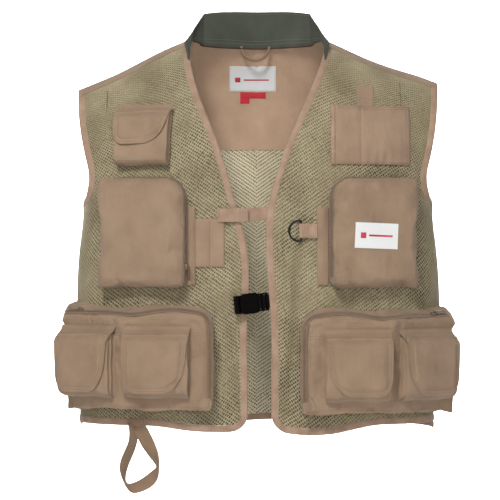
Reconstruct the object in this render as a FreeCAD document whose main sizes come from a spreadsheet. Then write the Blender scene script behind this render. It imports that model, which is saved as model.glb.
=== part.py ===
import FreeCAD, Part
import math
import os
import Sketcher
from FreeCAD import Placement, Rotation, Vector

# A sleeveless mesh fishing vest in its worn shape, held up at the hang loop inside the back of
# the neck. The origin is the middle of the neck seam at the hang loop. +X is the wearer's left,
# -Y is the front and +Z is up. "right" and "left" in the names are the wearer's.

DIMENSIONS = [
    ("section_half_width", 257, "half width of the torso section at the hem"),
    ("underarm_pinch", 10, "how much narrower each side is under the arm"),
    ("shoulder_flare", 11, "how much wider each side is at the shoulder"),
    ("front_depth", 120, "mid plane to the front of the chest"),
    ("back_depth", 115, "mid plane to the back"),
    ("section_power", 2.6, "power of the superellipse of the torso section"),
    ("neck_setback", 66, "mid plane to the neck seam at the centre of the back"),
    ("ridge_height", 41, "height of the shoulder ridge carried to the centre line"),
    ("ridge_slope", 0.405, "fall of the shoulder ridge per unit of width"),
    ("dome_height", 200, "height over which the shoulder rounds into the chest"),
    ("neck_half_width", 98, "centre line to the neck point of the shoulder seam"),
    ("shoulder_half_width", 259, "centre line to the shoulder point"),
    ("underarm_height", -242, "height of the bottom of the armhole"),
    ("yoke_height", -148, "height of the lower edge of the back yoke"),
    ("hem_height", -562, "height of the bottom edge of the vest"),
    ("binding_width", 10, "width of the bound edges"),
    ("binding_half_thickness", 1.6, "half thickness of the bound edges"),
    ("mesh_half_thickness", 1, "half thickness of the mesh and the yoke"),
    ("strip_width", 58, "width of the shoulder strips in front of the ridge"),
    ("collar_thickness", 3, "thickness of the stand collar"),
    ("sewn_gap", 0.4, "gap between a sewn-on piece and the cloth below"),
    ("chest_bag_width", 128, "width of a chest bag"),
    ("chest_bag_height", 156, "height of a chest bag"),
    ("chest_bag_depth", 24, "front of a chest bag to the tangent plane of the chest"),
    ("chest_bag_root", 20, "how far a chest bag is built inwards before it is cut to the chest"),
    ("chest_bag_corner", 30, "radius of the upper corners of a chest bag"),
    ("chest_bag_foot_corner", 14, "radius of the lower corners of a chest bag"),
    ("bag_edge_round", 7, "rounding of the front edge of a chest bag"),
    ("lower_bag_height", 150, "height of a lower bag at its back"),
    ("lower_bag_slope", 28, "slope in degrees of the top of a lower bag"),
    ("pouch_width", 92, "width of a lower pouch"),
    ("pouch_height", 90, "height of a lower pouch"),
    ("pouch_depth", 18, "depth of a lower pouch"),
    ("chest_pouch_width", 80, "width of the chest pouch"),
    ("chest_pouch_height", 76, "height of the chest pouch"),
    ("chest_pouch_depth", 13, "depth of the chest pouch"),
    ("pouch_wall", 1.6, "wall of the pouches"),
    ("flap_thickness", 2.2, "thickness of the pocket flaps"),
    ("flap_drop", 86, "hinge of a lower flap to its lower edge"),
    ("chest_flap_drop", 58, "hinge of the chest flap to its lower edge"),
    ("flap_rise", 12, "height of a flap's hinge above its pouch"),
    ("flap_corner", 24, "radius of the lower corners of a flap"),
    ("tape_width", 8, "width of the zipper coil and its tape"),
    ("tape_thickness", 1.2, "thickness of the zipper coil and its tape"),
    ("slider_length", 9, "length of a zipper slider"),
    ("slider_width", 6.6, "width of a zipper slider"),
    ("slider_height", 3.7, "height of a zipper slider"),
    ("pull_length", 19, "length of a zipper pull"),
    ("pull_width", 5, "width of a zipper pull"),
    ("pull_thickness", 1.4, "thickness of a zipper pull"),
    ("pull_eye", 1.1, "radius of the eye at the end of a zipper pull"),
    ("buckle_half_height", 14.2, "half height of the buckle's socket"),
    ("buckle_webbing", 25, "height of the plug and of the socket's webbing end"),
    ("buckle_thickness", 9, "thickness of the buckle's socket"),
    ("strap_width", 20, "width of the buckle's webbing"),
    ("strap_thickness", 1.4, "thickness of the webbing"),
    ("tab_width", 19, "width of the chest closure straps"),
    ("ring_wire", 1.5, "radius of the D-ring's wire"),
    ("ring_radius", 14.4, "radius of the D-ring's round side"),
    ("ring_corner", 3, "radius of the D-ring's corners"),
    ("loop_radius", 23, "outer radius of the hang loop"),
    ("loop_band", 4.5, "width of the hang loop's tape"),
    ("loop_thickness", 2, "thickness of the hang loop's tape"),
    ("rod_loop_length", 84, "drop of the rod loop below the hem"),
    ("rod_loop_width", 54, "width of the rod loop"),
    ("rod_loop_band", 12, "width of the rod loop's webbing as it hangs"),
]

os.makedirs("parts", exist_ok=True)
doc = FreeCAD.newDocument("fishing_vest")
sheet = doc.addObject("Spreadsheet::Sheet", "dims")
for row, (alias, value, note) in enumerate(DIMENSIONS, start=1):
    sheet.set(f"A{row}", note)
    sheet.set(f"B{row}", str(value))
    sheet.setAlias(f"B{row}", alias)
doc.recompute()

nodes = []


def size(alias):
    """The value of one driving dimension."""
    return float(sheet.get(alias))


def keep(piece, label):
    """Name a finished piece and list it for export."""
    piece.Label = label
    nodes.append(piece)
    return piece


# --- The torso surface that every cloth piece follows -----------------------------------------

FRONT = 1
BACK = -1
MID_Y = -size("neck_setback")
POWER = size("section_power")
DOME = size("dome_height")
ROUND_LENGTH = DOME * math.pi / 2
UNROLL = 250.0


def half_width(z):
    """Half width of the torso section at height z."""
    under_arm = size("underarm_pinch") * math.exp(-(((z + 235) / 70) ** 2))
    rise = min(1.0, max(0.0, (z + 200) / 130))
    flare = size("shoulder_flare") * rise * rise * (3 - 2 * rise)
    return size("section_half_width") - under_arm + flare


def ridge_z(x):
    """Height of the shoulder ridge above the point x."""
    return size("ridge_height") - size("ridge_slope") * abs(x)


def unroll(x, z):
    """Front-view place to (angle around the torso, length down from the ridge)."""
    inside = min(abs(x), half_width(z))
    angle = math.copysign(math.asin((inside / half_width(z)) ** (POWER / 2)), x)
    drop = max(0.0, ridge_z(inside) - z)
    if drop < DOME:
        return angle, DOME * math.acos(1 - drop / DOME)
    return angle, ROUND_LENGTH + drop - DOME


def surface_point(angle, length, side):
    """Point of the torso surface at an angle around it and a length down from the ridge."""
    share = math.sin(abs(angle)) ** (2 / POWER)
    if length < ROUND_LENGTH:
        drop = DOME * (1 - math.cos(length / DOME))
        swell = math.sin(length / DOME)
    else:
        drop = DOME + length - ROUND_LENGTH
        swell = 1.0
    x = size("section_half_width") * share
    for _ in range(4):
        z = ridge_z(x) - drop
        x = half_width(z) * share
    depth = size("front_depth") if side == FRONT else size("back_depth")
    reach = depth * swell * max(0.0, math.cos(angle)) ** (2 / POWER)
    return Vector(math.copysign(x, angle), MID_Y - side * reach, z)


def lifted_point(angle, length, side, lift):
    """Point at a distance outwards from the torso surface."""
    step = 0.004
    flat_limit = math.pi / 2 - 2 * step
    centre = min(max(angle, -flat_limit), flat_limit)
    down = max(length, 3.0)
    across = surface_point(centre + step, down, side) - surface_point(centre - step, down, side)
    along = surface_point(centre, down + 1, side) - surface_point(centre, down - 1, side)
    normal = across.cross(along).normalize()
    point = surface_point(angle, length, side)
    if normal.dot(point - Vector(0, MID_Y, point.z - 150)) < 0:
        normal = -normal
    if abs(angle) > flat_limit:
        normal = Vector(math.copysign(1, angle), 0, 0)
    return point + normal * lift


def chest_point(x, z, lift=0.0, side=FRONT):
    """Point of the torso surface at a front-view place."""
    angle, length = unroll(x, z)
    return lifted_point(angle, length, side, lift)


def chest_frame(x, z, upright=False):
    """Placement on the chest: X along it, -Y outwards, Z up it."""
    normal = chest_point(x, z, 1) - chest_point(x, z)
    if upright:
        normal.z = 0
    normal.normalize()
    across = Vector(-normal.y, normal.x, 0).normalize()
    up = across.cross(-normal)
    return Placement(chest_point(x, z), Rotation(across, -normal, up, "ZXY"))


# --- Cloth: a patch of the torso surface between four edges, with a thickness -----------------


def edge_curve(places):
    """A smooth edge through front-view places, as a function from 0 to 1."""
    flat = [unroll(x, z) for x, z in places]
    curve = Part.BSplineCurve()
    curve.interpolate([Vector(angle * UNROLL, length, 0) for angle, length in flat])

    span = curve.LastParameter - curve.FirstParameter
    widest = UNROLL * math.pi / 2

    def at(share):
        point = curve.value(curve.FirstParameter + share * span)
        return Vector(max(-widest, min(widest, point.x)), max(0.0, point.y), 0)

    return at


def level_edge(x0, x1, z):
    """An edge at one height, evenly spaced round the torso."""
    first, last = unroll(x0, z)[0], unroll(x1, z)[0]

    def at(share):
        angle = first + (last - first) * share
        width = half_width(z) * math.sin(abs(angle)) ** (2 / POWER)
        return Vector(angle * UNROLL, unroll(width, z)[1], 0)

    return at


def mirrored_edge(places):
    """An edge across the centre line, from its places between the centre and the left end."""
    half = edge_curve(places)

    def at(share):
        place = half(abs(2 * share - 1))
        return Vector(math.copysign(place.x, 2 * share - 1), place.y, 0)

    return at


def part_edge(edge, first, last):
    """The stretch of an edge between two shares of it."""
    return lambda share: edge(first + (last - first) * share)


def joined_edge(first, second, split):
    """Two edges end to end, the first taking a share of the whole."""

    def at(share):
        if share < split:
            return first(share / split)
        return second((share - split) / (1 - split))

    return at


def share_where(edge, passed):
    """How far along an edge a test first becomes true."""
    low, high = 0.0, 1.0
    for _ in range(30):
        middle = (low + high) / 2
        if passed(edge(middle)):
            high = middle
        else:
            low = middle
    return high


def inset_edge(edge, distance, side, sign):
    """The edge moved into the cloth by a distance measured on the torso surface."""
    step = 0.002
    widest = UNROLL * math.pi / 2

    def spot(angle, length):
        return surface_point(angle / UNROLL, max(0.0, length), side)

    def at(share):
        before, after = max(0.0, share - step), min(1.0, share + step)
        here = edge(share)
        run = spot(edge(after).x, edge(after).y) - spot(edge(before).x, edge(before).y)
        x = math.copysign(min(abs(here.x), widest - 2), here.x)
        y = max(1.0, here.y)
        around = spot(x + 0.5, y) - spot(x - 0.5, y)
        down = spot(x, y + 0.5) - spot(x, y - 0.5)
        turn = Vector(-down.dot(run), around.dot(run), 0) * sign
        reach = (around * turn.x + down * turn.y).Length
        moved_to = here - turn * (distance / reach)
        if abs(here.x) > widest - 0.01:
            return Vector(here.x, here.y + distance, 0)
        return Vector(max(-widest, min(widest, moved_to.x)), moved_to.y, 0)

    return at


def patch_grid(bottom, top, start, end, columns, rows):
    """Unrolled places of a patch between four edges that share their corners."""
    grid = []
    for row in range(rows):
        v = row / (rows - 1)
        line = []
        for column in range(columns):
            u = column / (columns - 1)
            place = bottom(u) * (1 - v) + top(u) * v + start(v) * (1 - u) + end(v) * u
            place -= bottom(0) * ((1 - u) * (1 - v)) + bottom(1) * (u * (1 - v))
            place -= top(0) * ((1 - u) * v) + top(1) * (u * v)
            line.append(place)
        grid.append(line)
    return grid


def clamped_knots(count):
    """Degree, multiplicities and knots of a smooth clamped spline over a number of poles."""
    degree = min(3, count - 1)
    inner = count - degree - 1
    return degree, [degree + 1] + [1] * inner + [degree + 1], list(range(inner + 2))


def smooth_skin(points):
    """A smooth surface that follows a grid of points without overshooting between them."""
    u_degree, u_mults, u_knots = clamped_knots(len(points))
    v_degree, v_mults, v_knots = clamped_knots(len(points[0]))
    skin = Part.BSplineSurface()
    skin.buildFromPolesMultsKnots(
        points, u_mults, v_mults, u_knots, v_knots, False, False, u_degree, v_degree
    )
    return skin


def skin_solid(outer_points, inner_points):
    """A closed solid between two smooth skins given as grids of points."""
    skins = [smooth_skin(outer_points), smooth_skin(inner_points)]
    faces = [skin.toShape() for skin in skins]
    for share in (0, 1):
        rims = [skin.uIso(skin.bounds()[share]).toShape() for skin in skins]
        faces.append(Part.makeRuledSurface(rims[0], rims[1]))
        rims = [skin.vIso(skin.bounds()[2 + share]).toShape() for skin in skins]
        faces.append(Part.makeRuledSurface(rims[0], rims[1]))
    shell = Part.makeShell(faces)
    shell.sewShape()
    solid = Part.makeSolid(shell)
    if solid.Volume < 0:
        solid.reverse()
    return solid


def cloth_solid(edges, lifts, side=FRONT, columns=9, rows=9):
    """A cloth patch between the four edges, from one lift off the torso surface to another."""
    grid = patch_grid(*edges, columns, rows)
    skins = []
    for lift in lifts:
        points = []
        for line in grid:
            points.append([lifted_point(p.x / UNROLL, p.y, side, lift) for p in line])
        skins.append(points)
    return skin_solid(skins[1], skins[0])


def rectangle_edges(x0, x1, z0, z1):
    """The four edges of a front-view rectangle."""
    return (
        level_edge(x0, x1, z0),
        level_edge(x0, x1, z1),
        edge_curve([(x0, z0), (x0, (z0 + z1) / 2), (x0, z1)]),
        edge_curve([(x1, z0), (x1, (z0 + z1) / 2), (x1, z1)]),
    )


def cloth(label, shape):
    """Keep one cloth solid as a sub-part."""
    piece = doc.addObject("Part::Feature", label)
    piece.Shape = shape
    return keep(piece, label)


HEM = size("hem_height")
BAND = size("binding_width")
EDGE_TOP = HEM + BAND
UNDERARM = size("underarm_height")
YOKE = size("yoke_height")
NECK_X = size("neck_half_width")
SHOULDER_X = size("shoulder_half_width")
MESH = (-size("mesh_half_thickness"), size("mesh_half_thickness"))
BOUND = (-size("binding_half_thickness"), size("binding_half_thickness"))
SEWN_ON = size("binding_half_thickness") + size("sewn_gap")

# The front edges, from the hem up the V of the neck to the neck point. They are not mirror
# images: the wearer's left front lies closer to the centre line at the chest.
FRONT_EDGES = {
    "right": [(-13, HEM), (-14, -420), (-15, -300), (-28, -249), (-56, -153), (-92, -52), (-97, -20)],
    "left": [(20, HEM), (20, -420), (20, -222), (28, -196), (43, -153), (86, -52), (97, -20)],
}
# The armhole edge from the bottom of the armhole towards the shoulder point, without its sign.
ARMHOLE = {
    FRONT: [(300, UNDERARM), (245.4, -241), (238, -228), (231, -204), (240, -172), (250, -135), (257, -90)],
    BACK: [(300, UNDERARM), (245.4, -241), (240, -228), (234, -204), (243, -165), (252, -125), (257, -90)],
}
SIDE_X = 300


def shifted(places, offset):
    """The same edge moved sideways."""
    return [(x + offset, z) for x, z in places]


def ridge_line(x0, x1, inset):
    """Places along the shoulder ridge between two widths, a little way down from it."""
    drop = DOME * (1 - math.cos(inset / DOME))
    return [(x0 + (x1 - x0) * k / 4, ridge_z(x0 + (x1 - x0) * k / 4) - drop) for k in range(5)]


def armhole_rim(sign, side):
    """The outer edge of an armhole, from under the arm up to the ridge."""
    crest = (SHOULDER_X, ridge_z(SHOULDER_X) - 0.01)
    return edge_curve([(sign * x, z) for x, z in ARMHOLE[side] + [crest]])


def armhole_cloth_edge(sign, side):
    """The edge of the cloth inside the armhole binding."""
    return inset_edge(armhole_rim(sign, side), BAND, side, sign)


def side_edge(sign, side, passed):
    """Side seam from the hem, then the armhole's cloth edge up to where a test becomes true."""
    hole = armhole_cloth_edge(sign, side)
    hole = part_edge(hole, 0, share_where(hole, passed))
    foot = Vector(sign * UNROLL * math.pi / 2, unroll(SIDE_X, EDGE_TOP)[1], 0)
    corner = hole(0)
    seam_share = 0.6
    return joined_edge(lambda share: foot + (corner - foot) * share, hole, seam_share)


def front_panel(sign, name):
    """The mesh front between the bound front edge, the strip, the armhole and the side seam."""
    inner = shifted(FRONT_EDGES[name], sign * BAND)
    inner[0] = (inner[0][0], EDGE_TOP)
    low = size("strip_width") + 8
    inner[-1] = ridge_line(sign * (NECK_X + 3), sign * SHOULDER_X, low)[0]
    start = edge_curve(inner)
    end = side_edge(sign, FRONT, lambda place: place.y < low)
    edges = (
        level_edge(inner[0][0], sign * SIDE_X, EDGE_TOP),
        lambda share: start(1) + (end(1) - start(1)) * share,
        start,
        end,
    )
    return cloth(f"{name}_front_panel", cloth_solid(edges, MESH, FRONT, 21, 41))


def shoulder_strip(sign, name):
    """The strip of yoke cloth that comes forward over the shoulder."""
    low = size("strip_width") + 7
    start = edge_curve([ridge_line(sign * (NECK_X + 3), sign * SHOULDER_X, inset)[0] for inset in (low, 1)])
    hole = armhole_cloth_edge(sign, FRONT)
    first = share_where(hole, lambda place: place.y < low)
    last = share_where(hole, lambda place: place.y < 1)
    end = part_edge(hole, first, last)
    edges = (
        lambda share: start(0) + (end(0) - start(0)) * share,
        lambda share: start(1) + (end(1) - start(1)) * share,
        start,
        end,
    )
    return cloth(f"{name}_shoulder_strip", cloth_solid(edges, MESH, FRONT, 9, 4))


def front_binding(sign, name):
    """The folded tape along the front edge and the V of the neck."""
    inner = FRONT_EDGES[name]
    outer = shifted(inner, sign * (BAND - size("sewn_gap")))
    edges = (
        edge_curve([inner[0], outer[0]]),
        edge_curve([inner[-1], outer[-1]]),
        edge_curve(inner),
        edge_curve(outer),
    )
    return cloth(f"{name}_front_binding", cloth_solid(edges, BOUND, FRONT, 3, 25))


def armhole_binding(sign, name):
    """The folded tape round the armhole, a front half and a back half sewn together."""
    halves = []
    for side in (FRONT, BACK):
        rim = armhole_rim(sign, side)
        inner = inset_edge(rim, BAND - size("sewn_gap"), side, sign)
        last = share_where(rim, lambda place: place.y < 1)
        rim, inner = part_edge(rim, 0, last), part_edge(inner, 0, last)
        edges = (
            lambda share: inner(0) + (rim(0) - inner(0)) * share,
            lambda share: inner(1) + (rim(1) - inner(1)) * share,
            inner,
            rim,
        )
        halves.append(cloth_solid(edges, BOUND, side, 3, 25))
    return cloth(f"{name}_armhole_binding", Part.makeCompound(halves))


def hem_binding():
    """The folded tape along the bottom edge: the two fronts and the back."""
    runs = []
    for name, sign in (("right", -1), ("left", 1)):
        start = FRONT_EDGES[name][0][0] + sign * BAND
        runs.append((start, sign * SIDE_X, FRONT))
    runs.append((-SIDE_X, SIDE_X, BACK))
    solids = []
    high = EDGE_TOP - size("sewn_gap")
    for x0, x1, side in runs:
        edges = (
            level_edge(x0, x1, HEM),
            level_edge(x0, x1, high),
            edge_curve([(x0, HEM), (x0, high)]),
            edge_curve([(x1, HEM), (x1, high)]),
        )
        solids.append(cloth_solid(edges, BOUND, side, 25, 3))
    return cloth("hem_binding", Part.makeCompound(solids))


def back_pieces():
    """The solid yoke across the shoulders and the mesh back below it."""
    gap = size("sewn_gap")

    def above(place):
        return surface_point(place.x / UNROLL, place.y, BACK).z > YOKE

    edges_left = side_edge(1, BACK, above)
    edges_right = side_edge(-1, BACK, above)
    yoke_x = surface_point(edges_left(1).x / UNROLL, edges_left(1).y, BACK).x
    edges = (
        level_edge(-SIDE_X, SIDE_X, EDGE_TOP),
        level_edge(-yoke_x, yoke_x, YOKE),
        edges_right,
        edges_left,
    )
    cloth("back_panel", cloth_solid(edges, MESH, BACK, 33, 31))
    sides = []
    for sign in (-1, 1):
        hole = armhole_cloth_edge(sign, BACK)
        sides.append(part_edge(hole, share_where(hole, above), share_where(hole, lambda place: place.y < 1)))
    shoulder = surface_point(sides[1](1).x / UNROLL, 1, BACK).x
    neck = [(0, -3), (30, -2.5), (60, -2), (84, -1)]
    crest = mirrored_edge(neck + ridge_line(NECK_X + 6, shoulder, 1))
    edges = (level_edge(-yoke_x, yoke_x, YOKE + gap), crest, sides[0], sides[1])
    cloth("back_yoke", cloth_solid(edges, MESH, BACK, 41, 13))


# Half of the collar, from the centre of the back to its front end: the sewn edge and the top
# edge, each point given with Y from the mid plane.
COLLAR_SEWN = [(0, 68, 3), (50, 62, 3), (80, 42, 4), (92, 6, 4), (97, -38, -9), (97, -71, -40)]
COLLAR_TOP = [(0, 80, 52), (46, 77, 51), (79, 61, 46), (90, 30, 27), (99, -8, 12), (106, -50, -4)]


def collar():
    """The stand collar: a ruled band from the neck seam to its top edge."""
    whole = []
    for half in (COLLAR_SEWN, COLLAR_TOP):
        mirrored = [(-x, y, z) for x, y, z in reversed(half[1:])]
        whole.append([Vector(x, MID_Y + y, z) for x, y, z in mirrored + half])
    sewn, top = whole
    middle = [(a + b) * 0.5 for a, b in zip(sewn, top)]
    skins = []
    for share in (0.5, -0.5):
        grid = []
        for line in (sewn, middle, top):
            moved = []
            for k, point in enumerate(line):
                ahead = line[min(k + 1, len(line) - 1)] - line[max(k - 1, 0)]
                normal = ahead.cross(top[k] - sewn[k]).normalize()
                moved.append(point + normal * (share * size("collar_thickness")))
            grid.append(moved)
        skins.append(grid)
    return cloth("collar", skin_solid(skins[0], skins[1]))


back_pieces()
for name, sign in (("right", -1), ("left", 1)):
    front_panel(sign, name)
    shoulder_strip(sign, name)
    front_binding(sign, name)
    armhole_binding(sign, name)
hem_binding()
collar()

# --- Flat cloth patches sewn on the torso surface ---------------------------------------------

FLAT_PATCHES = [
    ("tool_pocket", (-88, -46, -329, -261), (SEWN_ON, SEWN_ON + 2.2), FRONT),
    ("patch_pocket", (106, 214, -184, -99), (SEWN_ON, SEWN_ON + 3), FRONT),
    ("patch_tab", (142, 166, -97, -68), (SEWN_ON, SEWN_ON + 1.6), FRONT),
    ("rod_loop_tack", (-182, -162, HEM + 1, HEM + 10), (SEWN_ON, SEWN_ON + 1.6), FRONT),
    ("neck_label", (-41, 29, -66, -29), (-SEWN_ON - 0.9, -SEWN_ON), BACK),
    ("size_tag", (-25, 14, -84, -67), (-SEWN_ON - 0.9, -SEWN_ON), BACK),
]
for label, box, lifts, side in FLAT_PATCHES:
    cloth(label, cloth_solid(rectangle_edges(*box), lifts, side, 5, 5))


def torso_core():
    """A solid filling the front of the torso, used to shape the backs of the bags."""
    grid = []
    rear = []
    lift = size("mesh_half_thickness") + 0.6
    for z in range(-590, -90, 35):
        line = [unroll(half_width(z) * math.sin(math.radians(a)), z) for a in range(-90, 91, 6)]
        grid.append([lifted_point(a, down, FRONT, lift) for a, down in line])
        rear.append([Vector(p.x, MID_Y + 12, p.z) for p in grid[-1]])
    core = doc.addObject("Part::Feature", "torso_core")
    core.Shape = skin_solid(grid, rear)
    return core


CORE = torso_core()


def carved(label, base):
    """A piece with its back shaped to the torso."""
    piece = doc.addObject("Part::Cut", label)
    piece.Base = base
    piece.Tool = CORE
    return keep(piece, label)


# --- Sketch and feature helpers ---------------------------------------------------------------


def new_body(name):
    """An empty PartDesign body."""
    body = doc.addObject("PartDesign::Body", name)
    body.Label = name
    return body


def sketch_on(body, role, name, offset=0.0):
    """A sketch on one of the body's own origin planes."""
    plane = next(item for item in body.Origin.OriginFeatures if item.Role == role)
    sketch = body.newObject("Sketcher::SketchObject", name)
    sketch.AttachmentSupport = (plane, [""])
    sketch.MapMode = "FlatFace"
    sketch.AttachmentOffset = Placement(Vector(0, 0, offset), Rotation())
    return sketch


def polygon(sketch, points):
    """A closed outline of straight lines."""
    count = len(points)
    corners = [Vector(x, y, 0) for x, y in points]
    for k in range(count):
        sketch.addGeometry(Part.LineSegment(corners[k], corners[(k + 1) % count]), False)
    for k in range(count):
        sketch.addConstraint(end_to_start(k, (k + 1) % count))
    return sketch


def end_to_start(first, second):
    """The end of one line held to the start of the next."""
    return Sketcher.Constraint("Coincident", first, 2, second, 1)


def rectangle(sketch, width, height):
    """A rectangle centred on the sketch's origin, its sides bound to two expressions."""
    polygon(sketch, [(-5, -5), (5, -5), (5, 5), (-5, 5)])
    for line in (0, 2):
        sketch.addConstraint(Sketcher.Constraint("Horizontal", line))
    for line in (1, 3):
        sketch.addConstraint(Sketcher.Constraint("Vertical", line))
    sketch.addConstraint(Sketcher.Constraint("Symmetric", 0, 1, 2, 1, -1, 1))
    across = sketch.addConstraint(Sketcher.Constraint("DistanceX", 0, 1, 0, 2, 10))
    up = sketch.addConstraint(Sketcher.Constraint("DistanceY", 1, 1, 1, 2, 10))
    sketch.setExpression(f"Constraints[{across}]", width)
    sketch.setExpression(f"Constraints[{up}]", height)
    return sketch


def pad(body, sketch, length, midplane=False, backwards=False):
    """Pad a sketch by an expression."""
    feature = body.newObject("PartDesign::Pad", f"{sketch.Name}_pad")
    feature.Profile = sketch
    feature.Midplane = midplane
    feature.Reversed = backwards
    feature.setExpression("Length", length)
    return feature


def cut_through(body, sketch):
    """Pocket a sketch through the whole body, both ways."""
    feature = body.newObject("PartDesign::Pocket", f"{sketch.Name}_pocket")
    feature.Profile = sketch
    feature.Type = "ThroughAll"
    feature.Midplane = True
    return feature


def round_edges(body, feature, radius, wanted):
    """Fillet the edges of a feature that a test picks."""
    doc.recompute()
    names = []
    for number, edge in enumerate(feature.Shape.Edges, start=1):
        if wanted(edge):
            names.append(f"Edge{number}")
    fillet = body.newObject("PartDesign::Fillet", f"{feature.Name}_fillet")
    fillet.Base = (feature, names)
    fillet.setExpression("Radius", radius)
    return fillet


def runs_along(edge, axis):
    """Whether an edge is a straight line parallel to an axis."""
    if len(edge.Vertexes) != 2 or edge.Curve.TypeId != "Part::GeomLine":
        return False
    run = edge.Vertexes[1].Point - edge.Vertexes[0].Point
    return abs(abs(run.normalize().dot(axis)) - 1) < 1e-6


X_AXIS = Vector(1, 0, 0)
Y_AXIS = Vector(0, 1, 0)
Z_AXIS = Vector(0, 0, 1)


def plate(name, width, height, thickness):
    """A plain rectangular plate standing on its local XZ plane and padded outwards."""
    body = new_body(name)
    sketch = rectangle(sketch_on(body, "XZ_Plane", f"{name}_outline"), width, height)
    return body, pad(body, sketch, thickness)


def moved(frame, x=0.0, y=0.0, z=0.0):
    """A frame moved along its own axes."""
    return frame.multiply(Placement(Vector(x, y, z), Rotation()))


# --- Zipper sliders and pulls -----------------------------------------------------------------


def slider_frame(base, place, along, normal):
    """Frame of a slider: X along the pull, Z off the tape."""
    x_axis = base.Rotation.multVec(along)
    z_axis = base.Rotation.multVec(normal)
    y_axis = z_axis.cross(x_axis)
    return Placement(base.multVec(place), Rotation(x_axis, y_axis, z_axis, "ZXY"))


def zipper_slider(name, frame):
    """The slider's body with its crown, and the pull that swings on it."""
    body = new_body(f"{name}_slider")
    outline = sketch_on(body, "XY_Plane", f"{name}_slider_outline", size("sewn_gap"))
    rectangle(outline, "dims.slider_length", "dims.slider_width")
    block = pad(body, outline, "dims.slider_height - dims.sewn_gap")
    round_edges(body, block, "dims.slider_width / 3", lambda edge: runs_along(edge, Z_AXIS))
    body.Placement = frame
    keep(body, f"{name}_slider")

    pull = new_body(f"{name}_pull")
    height = size("slider_height") + 0.9
    outline = sketch_on(pull, "XY_Plane", f"{name}_pull_outline", height)
    half = size("pull_width") / 2
    long = size("pull_length")
    polygon(outline, [(-0.7, -half * 0.7), (long, -half), (long, half), (-0.7, half * 0.7)])
    pad(pull, outline, "dims.pull_thickness")
    eye = sketch_on(pull, "XY_Plane", f"{name}_pull_eye")
    eye.addGeometry(Part.Circle(Vector(long - 3.2, 0, 0), Z_AXIS, size("pull_eye")), False)
    doc.recompute()
    cut_through(pull, eye)
    pull.Placement = frame
    keep(pull, f"{name}_pull")


# --- Chest bags -------------------------------------------------------------------------------

BAG_TOP = size("chest_bag_height") / 2
BAG_SIDE = size("chest_bag_width") / 2
TAPE_Y = -11


def chest_zipper(name, frame, inner_sign):
    """The zipper tape: along the top of the bag, round its inner corner and down its side."""
    thick = size("tape_thickness")
    bend = size("chest_bag_corner")
    side = inner_sign * BAG_SIDE
    corner = Vector(inner_sign * (BAG_SIDE - bend), 0, BAG_TOP - bend)
    ends = [Vector(-inner_sign * (BAG_SIDE - bend), 0, BAG_TOP), Vector(corner.x, 0, BAG_TOP)]
    ends += [Vector(side, 0, corner.z), Vector(side, 0, -BAG_TOP + 16)]
    elbow = corner + Vector(inner_sign * bend, 0, bend) * math.sqrt(0.5)
    lift = size("sewn_gap") / 2
    faces = []
    for offset in (lift, lift + thick):
        away = [Vector(0, 0, offset), Vector(inner_sign * offset, 0, 0)]
        run = [Part.LineSegment(ends[0] + away[0], ends[1] + away[0])]
        bulge = elbow + (elbow - corner).normalize() * offset
        run.append(Part.Arc(ends[1] + away[0], bulge, ends[2] + away[1]))
        run.append(Part.LineSegment(ends[2] + away[1], ends[3] + away[1]))
        faces.append([segment.toShape() for segment in run])
    starts = [edges[0].Vertexes[0].Point for edges in faces]
    stops = [edges[-1].Vertexes[-1].Point for edges in faces]
    caps = [Part.LineSegment(starts[0], starts[1]).toShape(), Part.LineSegment(stops[0], stops[1]).toShape()]
    section = Part.Face(Part.Wire(Part.__sortEdges__(faces[0] + faces[1] + caps)))
    section.translate(Vector(0, TAPE_Y - size("tape_width") / 2, 0))
    tape = section.extrude(Vector(0, size("tape_width"), 0))
    piece = doc.addObject("Part::Feature", f"{name}_zipper")
    piece.Shape = tape
    piece.Placement = frame
    return keep(piece, f"{name}_zipper")


def chest_bag(name, frame, inner_sign):
    """The padded body of a chest bag and its zipper."""
    size_names = [f"dims.chest_bag_{word}" for word in ("width", "height", "depth")]
    body, block = plate(f"{name}_block", *size_names)
    inward = pad(body, block.Profile[0], "dims.chest_bag_root", backwards=True)
    upper = round_edges(
        body,
        inward,
        "dims.chest_bag_corner",
        lambda edge: runs_along(edge, Y_AXIS) and edge.CenterOfMass.z > 0,
    )
    lower = round_edges(
        body,
        upper,
        "dims.chest_bag_foot_corner",
        lambda edge: runs_along(edge, Y_AXIS) and edge.CenterOfMass.z < -BAG_TOP + 1,
    )
    front = -size("chest_bag_depth")

    def on_front(edge):
        return abs(edge.BoundBox.YMin - front) < 0.01 and abs(edge.BoundBox.YMax - front) < 0.01

    round_edges(body, lower, "dims.bag_edge_round", on_front)
    body.Placement = frame
    carved(f"{name}_bag", body)
    chest_zipper(name, frame, inner_sign)


RIGHT_CHEST = chest_frame(-160, -281, upright=True)
LEFT_CHEST = chest_frame(163, -281, upright=True)
chest_bag("right_chest", RIGHT_CHEST, 1)
chest_bag("left_chest", LEFT_CHEST, -1)
TAPE_TOP = size("tape_thickness") + size("sewn_gap") / 2
zipper_slider(
    "right_chest",
    slider_frame(RIGHT_CHEST, Vector(BAG_SIDE + TAPE_TOP, TAPE_Y, -48), -Z_AXIS, X_AXIS),
)
zipper_slider(
    "left_chest",
    slider_frame(LEFT_CHEST, Vector(30, TAPE_Y, BAG_TOP + TAPE_TOP), X_AXIS, Z_AXIS),
)
label_body, _ = plate("pocket_label", "64", "36", "0.8")
label_body.Placement = moved(LEFT_CHEST, -4, -size("chest_bag_depth") - 0.2, -10)
keep(label_body, "pocket_label")

# --- Pouches with flaps -----------------------------------------------------------------------


def flap_hinge_height(height):
    """Height of a flap's hinge above the middle of its pouch."""
    return height / 2 + size("flap_rise")


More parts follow.
